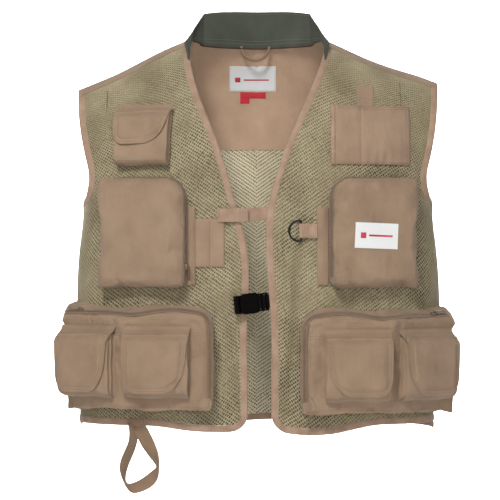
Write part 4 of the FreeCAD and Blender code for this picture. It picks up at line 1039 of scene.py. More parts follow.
def puffed(name, node, pins, shape, cap, size, material):
    """Blow a solid up as a cloth shell by no more than a cap, then shape it.

    pins gives the held share of each point, 0 to 1, and shape gives its further steps, in millimetres."""
    obj = remeshed(name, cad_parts[node], size)
    before = coords_mm(obj.data)
    hold = pins(before)
    group = obj.vertex_groups.new(name="held")
    for k in np.flatnonzero(hold > 0.02):
        group.add([int(k)], float(hold[k]), "REPLACE")
    mod = obj.modifiers.new("cloth", "CLOTH")
    mod.settings.use_pressure = True
    mod.settings.uniform_pressure_force = PUFF_PRESSURE
    mod.settings.vertex_group_mass = "held"
    mod.settings.tension_stiffness = mod.settings.compression_stiffness = PUFF_STRETCH
    mod.settings.bending_stiffness = PUFF_BENDING
    mod.settings.shrink_min = -PUFF_SHRINK
    mod.settings.quality = 5
    mod.settings.effector_weights.gravity = 0
    mod.point_cache.frame_start, mod.point_cache.frame_end = 1, PUFF_FRAMES
    scene = bpy.context.scene
    for number in range(1, PUFF_FRAMES + 1):
        scene.frame_set(number)
    after = coords_mm(obj.evaluated_get(bpy.context.evaluated_depsgraph_get()).data)
    scene.frame_set(1)
    obj.modifiers.clear()
    obj.vertex_groups.clear()
    step = after - before
    length = np.linalg.norm(step, axis=1, keepdims=True)
    step *= np.minimum(1, cap / np.maximum(length, 1e-6))
    before = before + step
    set_coords_mm(obj.data, before + shape(before))
    mod = obj.modifiers.new("smooth", "SUBSURF")
    mod.levels = mod.render_levels = 1
    applied(obj)
    mesh = obj.data
    mesh.polygons.foreach_set("use_smooth", [True] * len(mesh.polygons))
    mesh.materials.clear()
    mesh.materials.append(material)
    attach(obj, VEST)
    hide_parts(node)
    return obj


def local(matrix, points):
    """Points of the row frame in a frame's own millimetres."""
    m = np.array(matrix.inverted())
    return np.asarray(points) @ m[:3, :3].T + m[:3, 3]


def turned(matrix, steps):
    """Local steps or directions in the row frame."""
    return steps @ np.array(matrix)[:3, :3].T


def near_line(points, path, width):
    """1 on a polyline, falling to 0 a width away from it."""
    best = np.full(len(points), 1e9)
    for a, b in zip(path[:-1], path[1:]):
        run = b - a
        t = np.clip(((points - a) @ run) / max(run @ run, 1e-9), 0, 1)
        best = np.minimum(best, np.linalg.norm(points - a - t[:, None] * run, axis=1))
    return 1 - smooth(best, width * 0.5, width)


BAG_SIDE, BAG_TOP, BAG_CORNER, TAPE_Y = 64.0, 78.0, 30.0, -11.0
CHEST = {"right": (chest_frame(-160, -281, True), 1), "left": (chest_frame(163, -281, True), -1)}


def chest_zip_path(inner_sign, out):
    """Path of a chest zipper with its outward normals, in the bag's own frame."""
    bend_x, bend_z = BAG_SIDE - BAG_CORNER, BAG_TOP - BAG_CORNER
    places = [(x, BAG_TOP, 0, 1) for x in np.linspace(-bend_x, bend_x, 40)]
    for a in np.linspace(0, math.pi / 2, 24)[1:-1]:
        nx, nz = math.sin(a), math.cos(a)
        places.append((bend_x + BAG_CORNER * nx, bend_z + BAG_CORNER * nz, nx, nz))
    places += [(BAG_SIDE, z, 1, 0) for z in np.linspace(bend_z, -BAG_TOP + 16, 50)]
    x, z, nx, nz = np.array(places, float).T
    path = np.stack([(x + nx * out) * inner_sign, np.full_like(x, TAPE_Y), z + nz * out], -1)
    return path, np.stack([nx * inner_sign, 0 * nx, nz], -1)


TAPE_HALF, TOOTH_PITCH, TOOTH_WIDE, TOOTH_HIGH = 5.0, 1.9, 3.6, 0.9


def coil(name, path, across, up, material):
    """Zipper teeth: small rounded bars laid across the path."""
    run = lengths(path)
    spots = np.arange(TOOTH_PITCH / 2, run[-1], TOOTH_PITCH)
    middle, side, normal = (taken(rows, run, spots) for rows in (path, across, up))
    ahead = np.cross(normal, side)
    half, w, high = TOOTH_PITCH * 0.36, TOOTH_WIDE / 2, TOOTH_HIGH
    ring = [place for x in (-w, w) for place in ((x, -half, 0), (x * 0.8, 0, high), (x, half, 0))]
    verts = np.stack([middle + side * a + ahead * b + normal * c for a, b, c in ring], 1).reshape(-1, 3)
    tooth = [(0, 3, 4, 1), (1, 4, 5, 2), (0, 1, 2), (3, 5, 4), (0, 2, 5, 3)]
    faces = [[k + corner for corner in face] for k in range(0, len(verts), 6) for face in tooth]
    return new_mesh(name, verts, faces, material=material, sharp=50)


def zipper(name, runs, node):
    """Tape and coil along several (path, across, up) runs; the tape replaces a node."""
    grids = []
    u = np.array([-1, -0.95, -0.4, 0, 0.4, 0.95, 1])
    for path, across, up in runs:
        wobble = 0.18 * np.sin(np.linspace(0, len(path) * 0.9, len(path)))[:, None, None]
        h = np.array([0.1, 0.45, 0.6, 0.3, 0.6, 0.45, 0.1])[None, :, None]
        h = h + wobble * np.abs(u)[None, :, None]
        mid = path[:, None] + across[:, None] * (u * TAPE_HALF)[None, :, None]
        uv = np.stack(np.broadcast_arrays(u[None] * TAPE_HALF, lengths(path)[:, None]), -1)
        grids.append((mid + up[:, None] * h, mid - up[:, None] * 0.5, uv))
    skins(f"{name}_zip_tape", grids, material=ZIP_TAPE, node=node)
    for number, (path, across, up) in enumerate(runs):
        coil(f"{name}_zip_coil_{number}", path + up * 0.35, across, up, COIL)


def squared(x, z, cx, cz, sx, sz, amount):
    """Steps that push a rounded corner towards a square one."""
    dx, dz = (x - cx) * sx, (z - cz) * sz
    in_corner = (dx > 0) & (dz > 0)
    angle = np.arctan2(np.maximum(dz, 1e-6), np.maximum(dx, 1e-6))
    grow = (1 / np.maximum(np.cos(angle), np.sin(angle)) - 1) * amount * in_corner
    return dx * sx * grow, dz * sz * grow


def over(obj, matrix, places, missing):
    """Depth of a piece's face at front-view places of a frame."""
    tree, towards = ray_tree(obj), inwards(matrix)
    depth = np.empty(places.shape[:-1])
    for index in np.ndindex(*depth.shape):
        hit = tree.ray_cast(matrix @ Vector((places[index][0], -60, places[index][1])), towards)
        depth[index] = hit[3] - 60 if hit[0] is not None else missing
    return depth


SHORT_STITCH = {"pitch": 2.6, "long": 1.8}


def on_bag(name, bag, matrix, corners, material, lift=1.2, count=20):
    """A patch over a bag's face between four front-view corners, sewn round its edge."""
    s = np.linspace(0, 1, count)[None, :, None]
    t = np.linspace(0, 1, count)[:, None, None]
    a, b, c, d = (np.array(corner, float) for corner in corners)
    places = (a * (1 - s) + b * s) * (1 - t) + (d * (1 - s) + c * s) * t
    depth = over(bag, matrix, places, -20.0)
    rim = np.minimum(np.minimum(s, 1 - s), np.minimum(t, 1 - t))[..., 0] * count
    height = lift * (0.55 + 0.45 * np.clip(rim / 1.5, 0, 1))
    front = np.stack([places[..., 0], depth - height, places[..., 1]], -1)
    rear = np.stack([places[..., 0], depth + 0.3, places[..., 1]], -1)
    obj = skins(name, [(through(matrix, front), through(matrix, rear), places)], material=material)
    border = [p * 0.86 + (a + b + c + d) / 4 * 0.14 for p in (a, b, c, d)]
    seam = dropped(obj, rounded(border, 2, closed=True), matrix)
    stitches(f"{name}_stitching", [seam], THREAD, **SHORT_STITCH)


for name, (matrix, inner_sign) in CHEST.items():
    path, up = chest_zip_path(inner_sign, 0.3)

    def chest_pins(points, matrix=matrix, path=path):
        at = local(matrix, points)
        rear = smooth(at[:, 1], -5, 1)
        return np.maximum(rear, 0.9 * near_line(at, path, 9.0))

    def chest_shape(points, matrix=matrix, inner_sign=inner_sign):
        at = local(matrix, points)
        x, y, z = at.T
        front = smooth(-y, 12, 23)
        step = np.zeros_like(at)
        fold = bump(x * 0.7 * -inner_sign + z * 0.72 + 52, 0, 7) * bump(z, -45, 34)
        across = x * inner_sign
        dent = bump(across, -52, 14) * bump(z, 62, 9) + 0.6 * bump(across, -40, 20) * bump(z, 30, 10)
        fold *= 1 if inner_sign < 0 else 0.5
        step[:, 1] = front * (2.6 * fold + 1.8 * dent + 0.7 * np.sin(x / 13 + z / 19))
        step[:, 2] = front * 0.6 * np.sin(x / 11)
        step[:, 0] = smooth(np.abs(x), 50, 64) * np.sin(z / 12 + inner_sign) * 0.7 * (1 - smooth(y, -6, 0))
        for cz, sz, radius, amount in ((48, 1, 30, 0.75), (-64, -1, 14, 0.8)):
            dx, dz = squared(x, z, -inner_sign * (64 - radius), cz, -inner_sign, sz, amount)
            step[:, 0] += dx
            step[:, 2] += dz
        pleat = np.sin(z / 2.6) * bump(z, 52, 13) * bump(across, -56, 9)
        step[:, 1] += front * pleat * 1.1
        step[:, 1] += front * 1.2 * bump(z, -71, 3)
        return turned(matrix, step)

    bag = puffed(f"{name}_chest_cloth", f"{name}_chest_bag", chest_pins, chest_shape, 5.5, 0.0045, TAN_BAG_SHADED)
    across = turned(matrix, np.broadcast_to([0.0, 1.0, 0.0], path.shape))
    zipper(f"{name}_chest", [(through(matrix, path), across, turned(matrix, up))], f"{name}_chest_zipper")

    seams = []
    for inward, radius in ((6, 24), (3.4, 26)):
        x, z = BAG_SIDE - inward, BAG_TOP - inward
        border = rounded([(-x, z), (x, z), (x, -z), (-x, -z)], radius, closed=True)
        seams.append(dropped(bag, border, matrix))
    stitches(f"{name}_chest_stitching", seams, THREAD)
    corners = [(x * inner_sign, z) for x, z in ((44, -75), (63, -74), (64, -56), (41, -49))]
    on_bag(f"{name}_chest_tack", bag, matrix, corners, TAN_BAG_SHADED)
    flange = (-101, -87) if name == "right" else (84, 101)
    flat_piece(f"{name}_chest_flange", flange + (-354, -244), (1.9, 3.4), FRONT, TAN_BAG_SHADED, 14, 60,
               lambda s, t: 0.4 * np.sin(t * 30) * (1 - s) + 2.2 * bump(s, 0.5, 0.4))

# Lower bags.
BAG_PLAN = [(61, 60), (61, 151), (190, 136), (281, 74), (262, 14), (240, 5)]
LOWER = {"right": (-1, -530), "left": (1, -535)}
BAG_HEIGHT, SLOPE = 150.0, math.radians(28)
POUCH_W, POUCH_H, POUCH_D, FLAP_RISE, FLAP_DROP, GAP = 92.0, 90.0, 18.0, 12.0, 94.0, 0.4


def plan_point(sign, place, z):
    return Vector((sign * place[0], MID_Y - place[1], z))


def face_frame(sign, first, second, z):
    a, b = plan_point(sign, first, z), plan_point(sign, second, z)
    across = (b - a).normalized() * sign
    return placed((a + b) / 2, across, Vector((0, 0, 1)).cross(across), Vector((0, 0, 1)))


TOP_CORNER, FOOT_CORNER, OUTER_CORNER = 30.0, 13.0, 9.0


def corner_drop(distance, radius):
    """Fall of a rounded corner at a distance from the end of an edge."""
    near = np.clip(radius - distance, 0, radius)
    return radius - np.sqrt(np.maximum(radius**2 - near**2, 0))


def top_drop(wide, z, foot):
    """Vertical steps that round the corners of a lower bag and let its top edge sag."""
    from_inner, from_outer = wide - 60, 281 - wide
    reach = corner_drop(from_inner, TOP_CORNER) + corner_drop(from_outer, OUTER_CORNER)
    reach = np.minimum(reach, 46) + 4.5 * bump(wide, 176, 20) - 2.5 * bump(wide, 116, 26)
    lift = corner_drop(from_inner, FOOT_CORNER) + corner_drop(from_outer, 6)
    return -reach * smooth(z, foot + 70, foot + BAG_HEIGHT) + lift * (1 - smooth(z, foot, foot + 30))


pouch_frames = {}
for name, (sign, foot) in LOWER.items():
    top_z = foot + BAG_HEIGHT
    rim = top_z - 17
    up_slope = np.array([0, math.cos(SLOPE), math.sin(SLOPE)])
    slope_out = np.array([0, -math.sin(SLOPE), math.cos(SLOPE)])
    zips, mats = [], {}
    centre = rim - 26 - POUCH_H / 2
    for which, first, reach, aside in (("inner", 1, 60, 15), ("outer", 2, 50, 2)):
        plan = BAG_PLAN[first], BAG_PLAN[first + 1]
        x = np.linspace(-reach, reach, 60)
        path = np.stack([x, 0 * x, 0 * x], -1) + up_slope * 9 + slope_out * 0.5
        zips.append(through(face_frame(sign, *plan, rim), path))
        mats[which] = moved(face_frame(sign, *plan, centre), sign * aside)
    side_x, side_y = BAG_PLAN[1]
    zips.append(np.array([plan_point(sign, (side_x + 3, side_y), z) for z in (rim - 8, foot + 12)]))

    def lower_pins(points, zips=zips, mats=mats):
        flat = unroll(np.clip(points[:, 0], -255, 255), points[:, 2])
        skin = surface(flat, FRONT)
        hold = 1 - smooth(skin[:, 1] - points[:, 1], 4, 14)
        for line in zips:
            hold = np.maximum(hold, 0.9 * near_line(points, line, 10.0))
        for matrix in mats.values():
            at = local(matrix, points)
            inside_x = 1 - smooth(np.abs(at[:, 0]), 34, 46)
            inside_z = (1 - smooth(-at[:, 2], 36, 50)) * (1 - smooth(at[:, 2], 60, 70))
            hold = np.maximum(hold, 0.8 * inside_x * inside_z * (np.abs(at[:, 1]) < 12))
        return hold

    def lower_shape(points, sign=sign, foot=foot):
        x, y, z = points.T
        step = np.zeros_like(points)
        step[:, 2] += top_drop(np.abs(x), z, foot)
        front = smooth(-(y - MID_Y), 70, 120)
        low = 1 - smooth(z, foot, foot + 45)
        step[:, 2] += (smooth(z, foot + 120, foot + 145) * np.sin(x / 15 + sign) * 1.5
                      + low * np.sin(x / 19 + 0.7) * 1.4 + 2.5 * low * bump(np.abs(x), 190, 30))
        step[:, 1] = front * (0.5 * np.sin(x / 14 + z / 27) + 0.3 * np.sin(z / 9 + x / 40))
        side = smooth(np.abs(x), 255, 280)
        step[:, 0] = sign * side * (np.sin(z / 13 + sign) * 1.8 + np.sin(z / 31) * 1.5)
        if sign < 0:
            step[:, 0] += 12.0 * side * (1 - smooth(z, foot + 12, foot + 30))
        else:
            step[:, 0] += 3.5 * side * bump(z, foot + 125, 18)
            step[:, 2] -= 3.0 * side * low
        return step

    bag = puffed(f"{name}_lower_cloth", f"{name}_lower_bag", lower_pins, lower_shape, 6, 0.005, TAN_LOW_SHADED)
    front = Matrix.Identity(4)
    inner_end, level_z = 66.0, rim + 3.5
    bend = [(272, level_z), (186, level_z), (120, level_z + 2)]
    bend += [(inner_end, level_z + 1), (inner_end, foot + 17)]
    bend = np.array(rounded([(sign * x, z) for x, z in bend], 30, steps=14))
    wide = np.abs(bend[:, 0])
    bend[:, 1] += top_drop(wide, np.minimum(bend[:, 1], rim), foot) * (wide > 100)
    points, normals = (np.array(found) for found in dropped(bag, bend.tolist(), front, depth=-400, lift=0.3))
    for _ in range(6):
        points[1:-1] = (points[:-2] + points[1:-1] * 2 + points[2:]) / 4
        normals[1:-1] = (normals[:-2] + normals[1:-1] * 2 + normals[2:]) / 4
    points += unit(normals) * 0.5
    flow = np.gradient(points, axis=0)
    cross = unit(np.cross(flow, normals))
    up = unit(np.cross(cross, flow))
    up *= np.sign((up * normals).sum(-1, keepdims=True))
    zipper(f"{name}_lower", [(points, cross, up)], f"{name}_lower_zipper")
    pouch_frames[name] = mats
    seams = []
    for inward in (4.5, 8.0):
        side, top = inner_end + inward, level_z - inward
        row = [(side, foot + 20), (side, level_z - 26), (92, top + 1), (150, top - 1)]
        row = rounded([(sign * x, z) for x, z in row], 24, steps=10)
        seams.append(dropped(bag, row, front, depth=-400))
    for row_z in (foot + 5, rim - 24, rim - 28):
        seams.append(dropped(bag, [(sign * x, row_z) for x in np.linspace(72, 268, 100)], front, depth=-400))
    stitches(f"{name}_lower_stitching", seams, THREAD)
    corners = [(x * sign, foot + up) for x, up in ((68, 3), (86, 3), (78, 22), (64, 27))]
    on_bag(f"{name}_lower_tack", bag, moved(front, 0, MID_Y - 150, 0), corners, TAN_LOW_SHADED)

# --- Pouches and flaps ------------------------------------------------------------------------


def pouch(name, node, matrix, wide, high, deep, phase, material, gusset=True):
    """An open-topped pocket: folded sides, a loose front and a bottom sewn to the bag."""
    half, top, foot = wide / 2, high / 2, -high / 2
    rows = 34
    z = foot + (top - foot) * np.linspace(0, 1, rows) ** 0.85
    t = (z - foot) / high
    reach = deep * np.sqrt(np.clip(1 - (1 - np.clip(t / 0.2, 0, 1)) ** 2, 0, 1))
    plan = [(-half, 0.0)]
    fold = 4.6 if gusset else 1.2
    sides = np.linspace(0, 1, 9)[1:-1]
    plan += [(-half + 1 + fold * abs(math.sin(2 * math.pi * s)) - 0.6, s) for s in sides]
    plan += [(-half + 0.5, 0.97), (-half + 2.2, 1.0)]
    plan += [(x, 1.0) for x in np.linspace(-half + 6, half - 6, 30)]
    plan += [(half - 2.2, 1.0), (half - 0.5, 0.97)]
    plan += [(half - 1 - fold * abs(math.sin(2 * math.pi * s)) + 0.6, s) for s in sides[::-1]]
    plan += [(half, 0.0)]
    plan = np.array(plan)
    x = np.broadcast_to(plan[:, 0], (rows, len(plan))).copy()
    y = -reach[:, None] * plan[None, :, 1] - GAP
    belly = np.cos(np.clip(plan[:, 0] / half, -1, 1) * math.pi / 2) * (plan[:, 1] > 0.98)
    sag = belly[None] * np.sin(np.pi * np.clip(t, 0, 1))[:, None]
    wave = np.sin(x / 12 + phase + z[:, None] / 21) * smooth(t, 0.05, 0.3)[:, None]
    y = y - sag * 1.6 - belly[None] * 0.8 * wave
    crumple = np.sin(z / 7 + phase)[:, None] * (1 - belly)[None] * 0.5
    x = x + crumple * np.sign(plan[:, 0])[None] * -1
    low = (1 - smooth(t, 0, 0.25))[:, None]
    mouth = smooth(t, 0.9, 1)[:, None]
    zz = z[:, None] + low * np.sin(x / 10 + phase) * 0.8 + mouth * np.sin(x / 17 + phase) * 0.8
    outer = np.stack([x, y, zz], -1)
    inner = outer.copy()
    inner[..., 0] -= np.sign(plan[:, 0])[None] * (1.3 * (1 - (plan[:, 1] > 0.98)))[None]
    inner[..., 1] += 1.4 * (plan[:, 1] > 0.5)[None] * smooth(t, 0, 0.12)[:, None]
    uv = np.stack([np.broadcast_to(np.cumsum(np.ones(len(plan))) * 3, x.shape), zz], -1)
    obj = skins(name, [(through(matrix, outer), through(matrix, inner), uv)], sharp=62, node=node,
                material=material)
    hem = [(px, top - 6.0) for px in np.linspace(-half + 7, half - 7, 30)]
    foot_row = [(px, foot + 5.0) for px in np.linspace(-half + 5, half - 5, 30)]
    stitches(f"{name}_stitching", [dropped(obj, hem, matrix), dropped(obj, foot_row, matrix)], THREAD)


def flap_outline(half, drop, radii):
    """How far a flap hangs at each width, with a radius for each lower corner."""

    def low(x):
        radius = np.where(np.asarray(x) < 0, radii[0], radii[1])
        inward = np.clip((np.abs(x) - (half - radius)) / radius, 0, 1)
        return drop - radius * 1.15 * (1 - np.sqrt(np.clip(1 - inward**2.2, 0, 1)))

    return low


def flap(name, node, matrix, wide, high, deep, drop, phase, material, radii, lean, puff=2.8):
    """A soft flap hinged at its top that hangs over a pouch; it rides its own body.

    radii and lean are for its left and right lower corners and sides, as seen from in front."""
    half = wide / 2 + 2
    hinge = high / 2 + FLAP_RISE
    low = flap_outline(half, drop, radii)
    columns, rows = 49, 46
    x = half * np.sign(np.linspace(-1, 1, columns)) * np.abs(np.linspace(-1, 1, columns)) ** 0.8
    t = np.linspace(0, 1, rows)
    depth = low(x)[None] * t[:, None]

    def leaned(px, down):
        """The flap's sides draw in towards its foot, each by its own amount."""
        share = np.clip(np.asarray(down) / drop, 0, 1) * np.abs(px) / half
        return px + np.where(np.asarray(px) < 0, lean[0], -lean[1]) * share

    flat_x = np.broadcast_to(x, depth.shape)
    xx = leaned(flat_x, depth)
    far, near = deep + GAP + 3.4, GAP + 1.8
    roll = smooth(depth, 1, 24)
    y = -(near + (far - near) * roll)
    rim = np.minimum(np.minimum(half - np.abs(flat_x), low(x)[None] - depth), 30)
    swell = smooth(rim, 0, 16) * smooth(depth, 2, 22)
    groove = bump(rim, 7.4, 1.5) * 1.2 + bump(rim, 3.4, 0.9) * 0.6
    soft = 0.9 * np.sin(xx / 15 + phase) * np.sin(depth / 19 + phase) + 0.4 * np.sin(xx / 7 - depth / 11)
    outer_y = y - puff * swell - 0.8 - soft * swell * 0.8 + groove * (depth > 14)
    ear = 1.6 * smooth(np.abs(xx), half - 16, half) * smooth(depth, 20, drop * 0.8)
    outer_y = outer_y + ear
    inner_y = np.minimum(y, outer_y + 1.2 + puff * swell * 0.7) + ear * 0.6
    thin = 1 - np.clip(rim / 1.2, 0, 1)
    mid_y = (outer_y + inner_y) / 2
    outer_y = outer_y + (mid_y - outer_y) * thin * 0.6
    inner_y = inner_y + (mid_y - inner_y) * thin * 0.6
    z = hinge - depth + 0.5 * np.sin(xx / 12 + phase) * smooth(depth, 30, drop)
    outer, inner = np.stack([xx, outer_y, z], -1), np.stack([xx, inner_y, z], -1)
    uv = np.stack([xx, depth], -1)
    obj = skins(name, [(through(matrix, outer), through(matrix, inner), uv)], sharp=70, node=node,
                body=node, material=material)
    seams = []
    for inward in (3.4, 7.4):
        border = [(leaned(-half + inward, 12), hinge - 12)]
        inner_low = flap_outline(half - inward, drop - inward, (radii[0] - inward, radii[1] - inward))
        for s in np.linspace(-1, 1, 80):
            px = (half - inward) * s
            down = float(inner_low(np.array(px)))
            border.append((float(leaned(px, down)), hinge - down))
        border.append((leaned(half - inward, 12), hinge - 12))
        seams.append(dropped(obj, rounded(border, 0.5, steps=2), matrix))
    for down in (7.0, 11.0):
        row = [(px, hinge - down) for px in np.linspace(-half + 2, half - 2, 50)]
        seams.append(dropped(obj, row, matrix))
    stitches(f"{name}_stitching", seams, THREAD, body=node)
    area = float(low(np.linspace(-half, half, 400)).mean() * 2 * half)


FLAP_RADII, FLAP_LEAN = (22, 36), (1.0, 11.0)
for name, mats in pouch_frames.items():
    sign = LOWER[name][0]
    for which, matrix in mats.items():
        phase = 1.3 * sign + (0.8 if which == "inner" else 2.1)
        key = f"{name}_{which}"
        pouch(f"{key}_pouch_cloth", f"{key}_pouch", matrix, POUCH_W, POUCH_H, POUCH_D, phase, TAN_LOW_SHADED)
        flap(f"{key}_flap_cloth", f"{key}_flap", matrix, POUCH_W, POUCH_H, POUCH_D, FLAP_DROP, phase,
             TAN_FLAP_SHADED, FLAP_RADII[::-sign], FLAP_LEAN[::-sign])

CHEST_POUCH = moved(chest_frame(-159, -143), 0, -4.2, -6)
CHEST_SIZE = (80, 76, 13)
pouch("chest_pouch_cloth", "chest_pouch", CHEST_POUCH, *CHEST_SIZE, 0.4, TAN_BAG_SHADED, gusset=False)
flap("chest_flap_cloth", "chest_flap", CHEST_POUCH, *CHEST_SIZE, 60, 0.9, TAN_BAG_SHADED, (18, 40), (0.0, 6.0), 1.8)

# --- Patches, straps and small hardware -------------------------------------------------------


def tool_relief(s, t):
    """The tool pocket: a seam down its middle, two soft tubes and a little unevenness."""
    uneven = np.sin(s * 9 + t * 4) * s * (1 - s) * 4 * 0.5
    tubes = np.abs(np.sin(s * 2 * math.pi)) * smooth(t, 0.02, 0.2)
    return -0.5 * bump(s, 0.5, 0.03) + 0.5 * uneven + 0.9 * tubes


flat_piece("tool_pocket_cloth", (-88, -46, -329, -261), (1.9, 3.4), FRONT, TAN_FLAT_SHADED, 30, 40, tool_relief,
           node="tool_pocket")
runs = [([(-67, -327), (-67, -262.5)], 3.6),
        ([(-86.5, -262.5), (-86.5, -327.5), (-47.5, -327.5), (-47.5, -262.5)], 3.5),
        ([(-86, -264), (-48, -264)], 3.7)]
stitches("tool_pocket_stitching", [torso_seam(places, FRONT, lift) for places, lift in runs], THREAD)


def patch_relief(s, t):
    """The patch pocket: a seam a third of the way across, and gathers at the foot of its wide part."""
    right = smooth(s, 0.36, 0.42)
    pleats = (np.sin(s * 60) * 0.4 + np.sin(s * 33 + 1) * 0.35) * (1 - smooth(s, 0.72, 0.86))
    pleats = right * (1 - smooth(t, 0.05, 0.42)) * pleats
    pouched = right * np.sin(np.pi * np.clip((s - 0.36) / 0.64, 0, 1)) * 3.0
    pouched = pouched * smooth(t, 0, 0.25) * (1 - 0.5 * smooth(t, 0.7, 1))
    narrow = (1 - right) * np.sin(np.pi * np.clip(s / 0.36, 0, 1)) * smooth(t, 0, 0.1)
    return pleats + pouched + narrow - 1.0 * bump(s, 0.36, 0.02) + 0.5 * np.sin(s * 14 + t * 9) * t


flat_piece("patch_pocket_cloth", (106, 214, -184, -99), (1.9, 3.6), FRONT, TAN, 90, 60, patch_relief,
           node="patch_pocket")
flat_piece("patch_pocket_edge", (104, 110, -184.5, -98.5), (2.4, 5.2), FRONT, TAPE, 8, 60,
           lambda s, t: 0.3 * np.sin(t * 70))
runs = [([(110.5, -181.5), (211.5, -181.5), (211.5, -101.5), (112, -101.5)], 5.4),
        ([(145.5, -182), (145.5, -100)], 4.6),
        ([(208.5, -182), (208.5, -104)], 5.6),
        ([(112, -104.8), (209, -104.8)], 5.6)]
stitches("patch_pocket_stitching", [torso_seam(places, FRONT, lift) for places, lift in runs], THREAD)
flat_piece("patch_tab_webbing", (142, 166, -102, -68), (1.9, 3.3), FRONT, TAN_FLAT_SHADED, 14, 24, node="patch_tab")
box_stitch = [(144, -100), (164, -100), (164, -88), (144, -88), (144, -100), (164, -88)]
stitches("patch_tab_stitching", [torso_seam(box_stitch, FRONT, 3.6)], THREAD, **SHORT_STITCH)


def straight_web(name, matrix, length, wide, material, node=None, body=VEST, bend=0.0):
    """A short length of webbing along a frame's X axis."""
    t = np.linspace(-1, 1, 30)
    mid = np.stack([t * length / 2, -bend * (1 - t * t), 0 * t], -1)
    across, up = (turned(matrix, np.tile(axis, (30, 1))) for axis in ([0.0, 0.0, 1.0], [0.0, -1.0, 0.0]))
    ribbon(name, through(matrix, mid), across, up, wide, 1.4, body=body, material=material, node=node)


def cross_seams(matrix, half, rows):
    """Seams across a strap at (x, y) places of its flat local face, as points and normals."""
    seams = []
    for x, y in rows:
        z = np.array(rounded([(x, -half), (x, half)], 0.1, steps=2))[:, 1]
        points = np.stack([np.full_like(z, x), np.full_like(z, y), z], -1)
        seams.append((through(matrix, points), turned(matrix, np.tile([0.0, -1.0, 0.0], (len(z), 1)))))
    return seams


STRAP_Z = -256
top_frame = moved(chest_frame(-34, STRAP_Z, True), 0, -5.4, 0)
strap = "sternum_strap_right"
straight_web("sternum_web_right", top_frame, 43, 19, TAPE, strap, strap, 0.8)
seams = cross_seams(top_frame, 8.5, [(10, -1.6), (14, -1.5), (-19, -1.0)])
stitches("sternum_web_right_stitching", seams, THREAD, body=strap, **SHORT_STITCH)
straight_web("sternum_web_right_end", moved(top_frame, 20.2, -0.9, 0), 2.6, 18, TAPE, body=strap)
a, b = on_chest(36, STRAP_Z + 4, -4.6), on_chest(-24, STRAP_Z, -0.6)
run = Vector(a - b)
across = run.normalized()
back = Vector((0, 0, 1)).cross(across).normalized()
low_frame = placed((a + b) / 2, across, back, across.cross(back))
straight_web("sternum_web_left", low_frame, run.length, 19, TAPE, "sternum_strap_left", bend=0.6)

RING_FRAME = moved(chest_frame(62, -278, True), 0, -5, 0)
bore = [(22.5, 2.6), (16, 2.7), (8, 2.7), (4, 2.6)]
arc = [(-2.5 * math.sin(a), 2.5 * math.cos(a)) for a in np.radians(np.linspace(0, 180, 14))]
front_run = [(3, -2.4), (7, -1.0), (10, 0.2), (16, 0.7), (22.5, 0.8)]
path = np.array(rounded(bore + arc + front_run, 1.0, steps=4))
path = path[np.concatenate([[True], np.linalg.norm(np.diff(path, axis=0), axis=1) > 0.05])]
flow = np.gradient(path, axis=0)
mid = np.stack([path[:, 0], path[:, 1], 0 * path[:, 0]], -1)
up = unit(np.stack([flow[:, 1], -flow[:, 0], 0 * flow[:, 0]], -1))
across, up = turned(RING_FRAME, np.tile([0.0, 0, 1], (len(mid), 1))), turned(RING_FRAME, up)
ribbon("ring_tab_webbing", through(RING_FRAME, mid), across, up, 20.5, 1.3, material=TAPE, node="ring_tab")
seams = cross_seams(RING_FRAME, 9.5, [(8, -1.3), (10.5, -0.7), (20.5, -0.1)])
stitches("ring_tab_stitching", seams, THREAD, **SHORT_STITCH)

BUCKLE = Matrix.Translation(Vector(on_chest(-7.5, -380, 6.2)))
BUCKLE = BUCKLE @ Matrix.Rotation(math.radians(20), 4, "Z") @ Matrix.Rotation(math.radians(-6), 4, "Y")
straight_web("buckle_web_left", moved(BUCKLE, 40.9, 0.4, 0), 34, 20, WEB_BLACK, "buckle_webbing_left",
             bend=0.4)
straight_web("buckle_web_ladder", moved(BUCKLE, 15, 2.8, 0), 20, 19, WEB_BLACK)
straight_web("buckle_web_right", moved(chest_frame(-27, -382, True), 0, -2.9, 0), 15, 20, WEB_BLACK,
             "buckle_webbing_right", "buckle_socket", 0.3)

LABEL_X, LABEL_Z, LABEL_COLUMNS, LABEL_ROWS = 32, 18, 40, 24
label_frame = moved(CHEST["left"][0], -4, 0, -4) @ Matrix.Rotation(math.radians(2), 4, "Y")
x, z = np.meshgrid(np.linspace(-LABEL_X, LABEL_X, LABEL_COLUMNS), np.linspace(-LABEL_Z, LABEL_Z, LABEL_ROWS))
places = np.stack([x, z], -1)
depth = over(bpy.data.objects["left_chest_cloth"], label_frame, places, -24)
outer, inner = (through(label_frame, np.stack([x, depth - lift, z], -1)) for lift in (0.9, 0.1))
skins("pocket_label_cloth", [(outer, inner, places)], material=WHITE, node="pocket_label")
lift = np.array(-inwards(label_frame))
for number, (x0, x1, z0, z1) in enumerate([(-12, 24, -1.2, 1.4), (-24, -16, -4, 4)]):
    i0, i1 = (np.array([z0, z1]) + LABEL_Z) / (2 * LABEL_Z) * (LABEL_ROWS - 1)
    j0, j1 = (np.array([x0, x1]) + LABEL_X) / (2 * LABEL_X) * (LABEL_COLUMNS - 1)
    i, j = np.meshgrid(np.linspace(i0, i1, 4), np.linspace(j0, j1, 16), indexing="ij")
    ii, jj = np.floor(i).astype(int), np.floor(j).astype(int)
    fi, fj = (i - ii)[..., None], (j - jj)[..., None]
    near, far = (outer[ii, k] * (1 - fi) + outer[ii + 1, k] * fi for k in (jj, jj + 1))
    skin = near * (1 - fj) + far * fj
    grids = [(skin + lift * 0.25, skin - lift * 0.05, np.zeros(i.shape + (2,)))]
    skins(f"pocket_label_mark_{number}", grids, material=MARK)

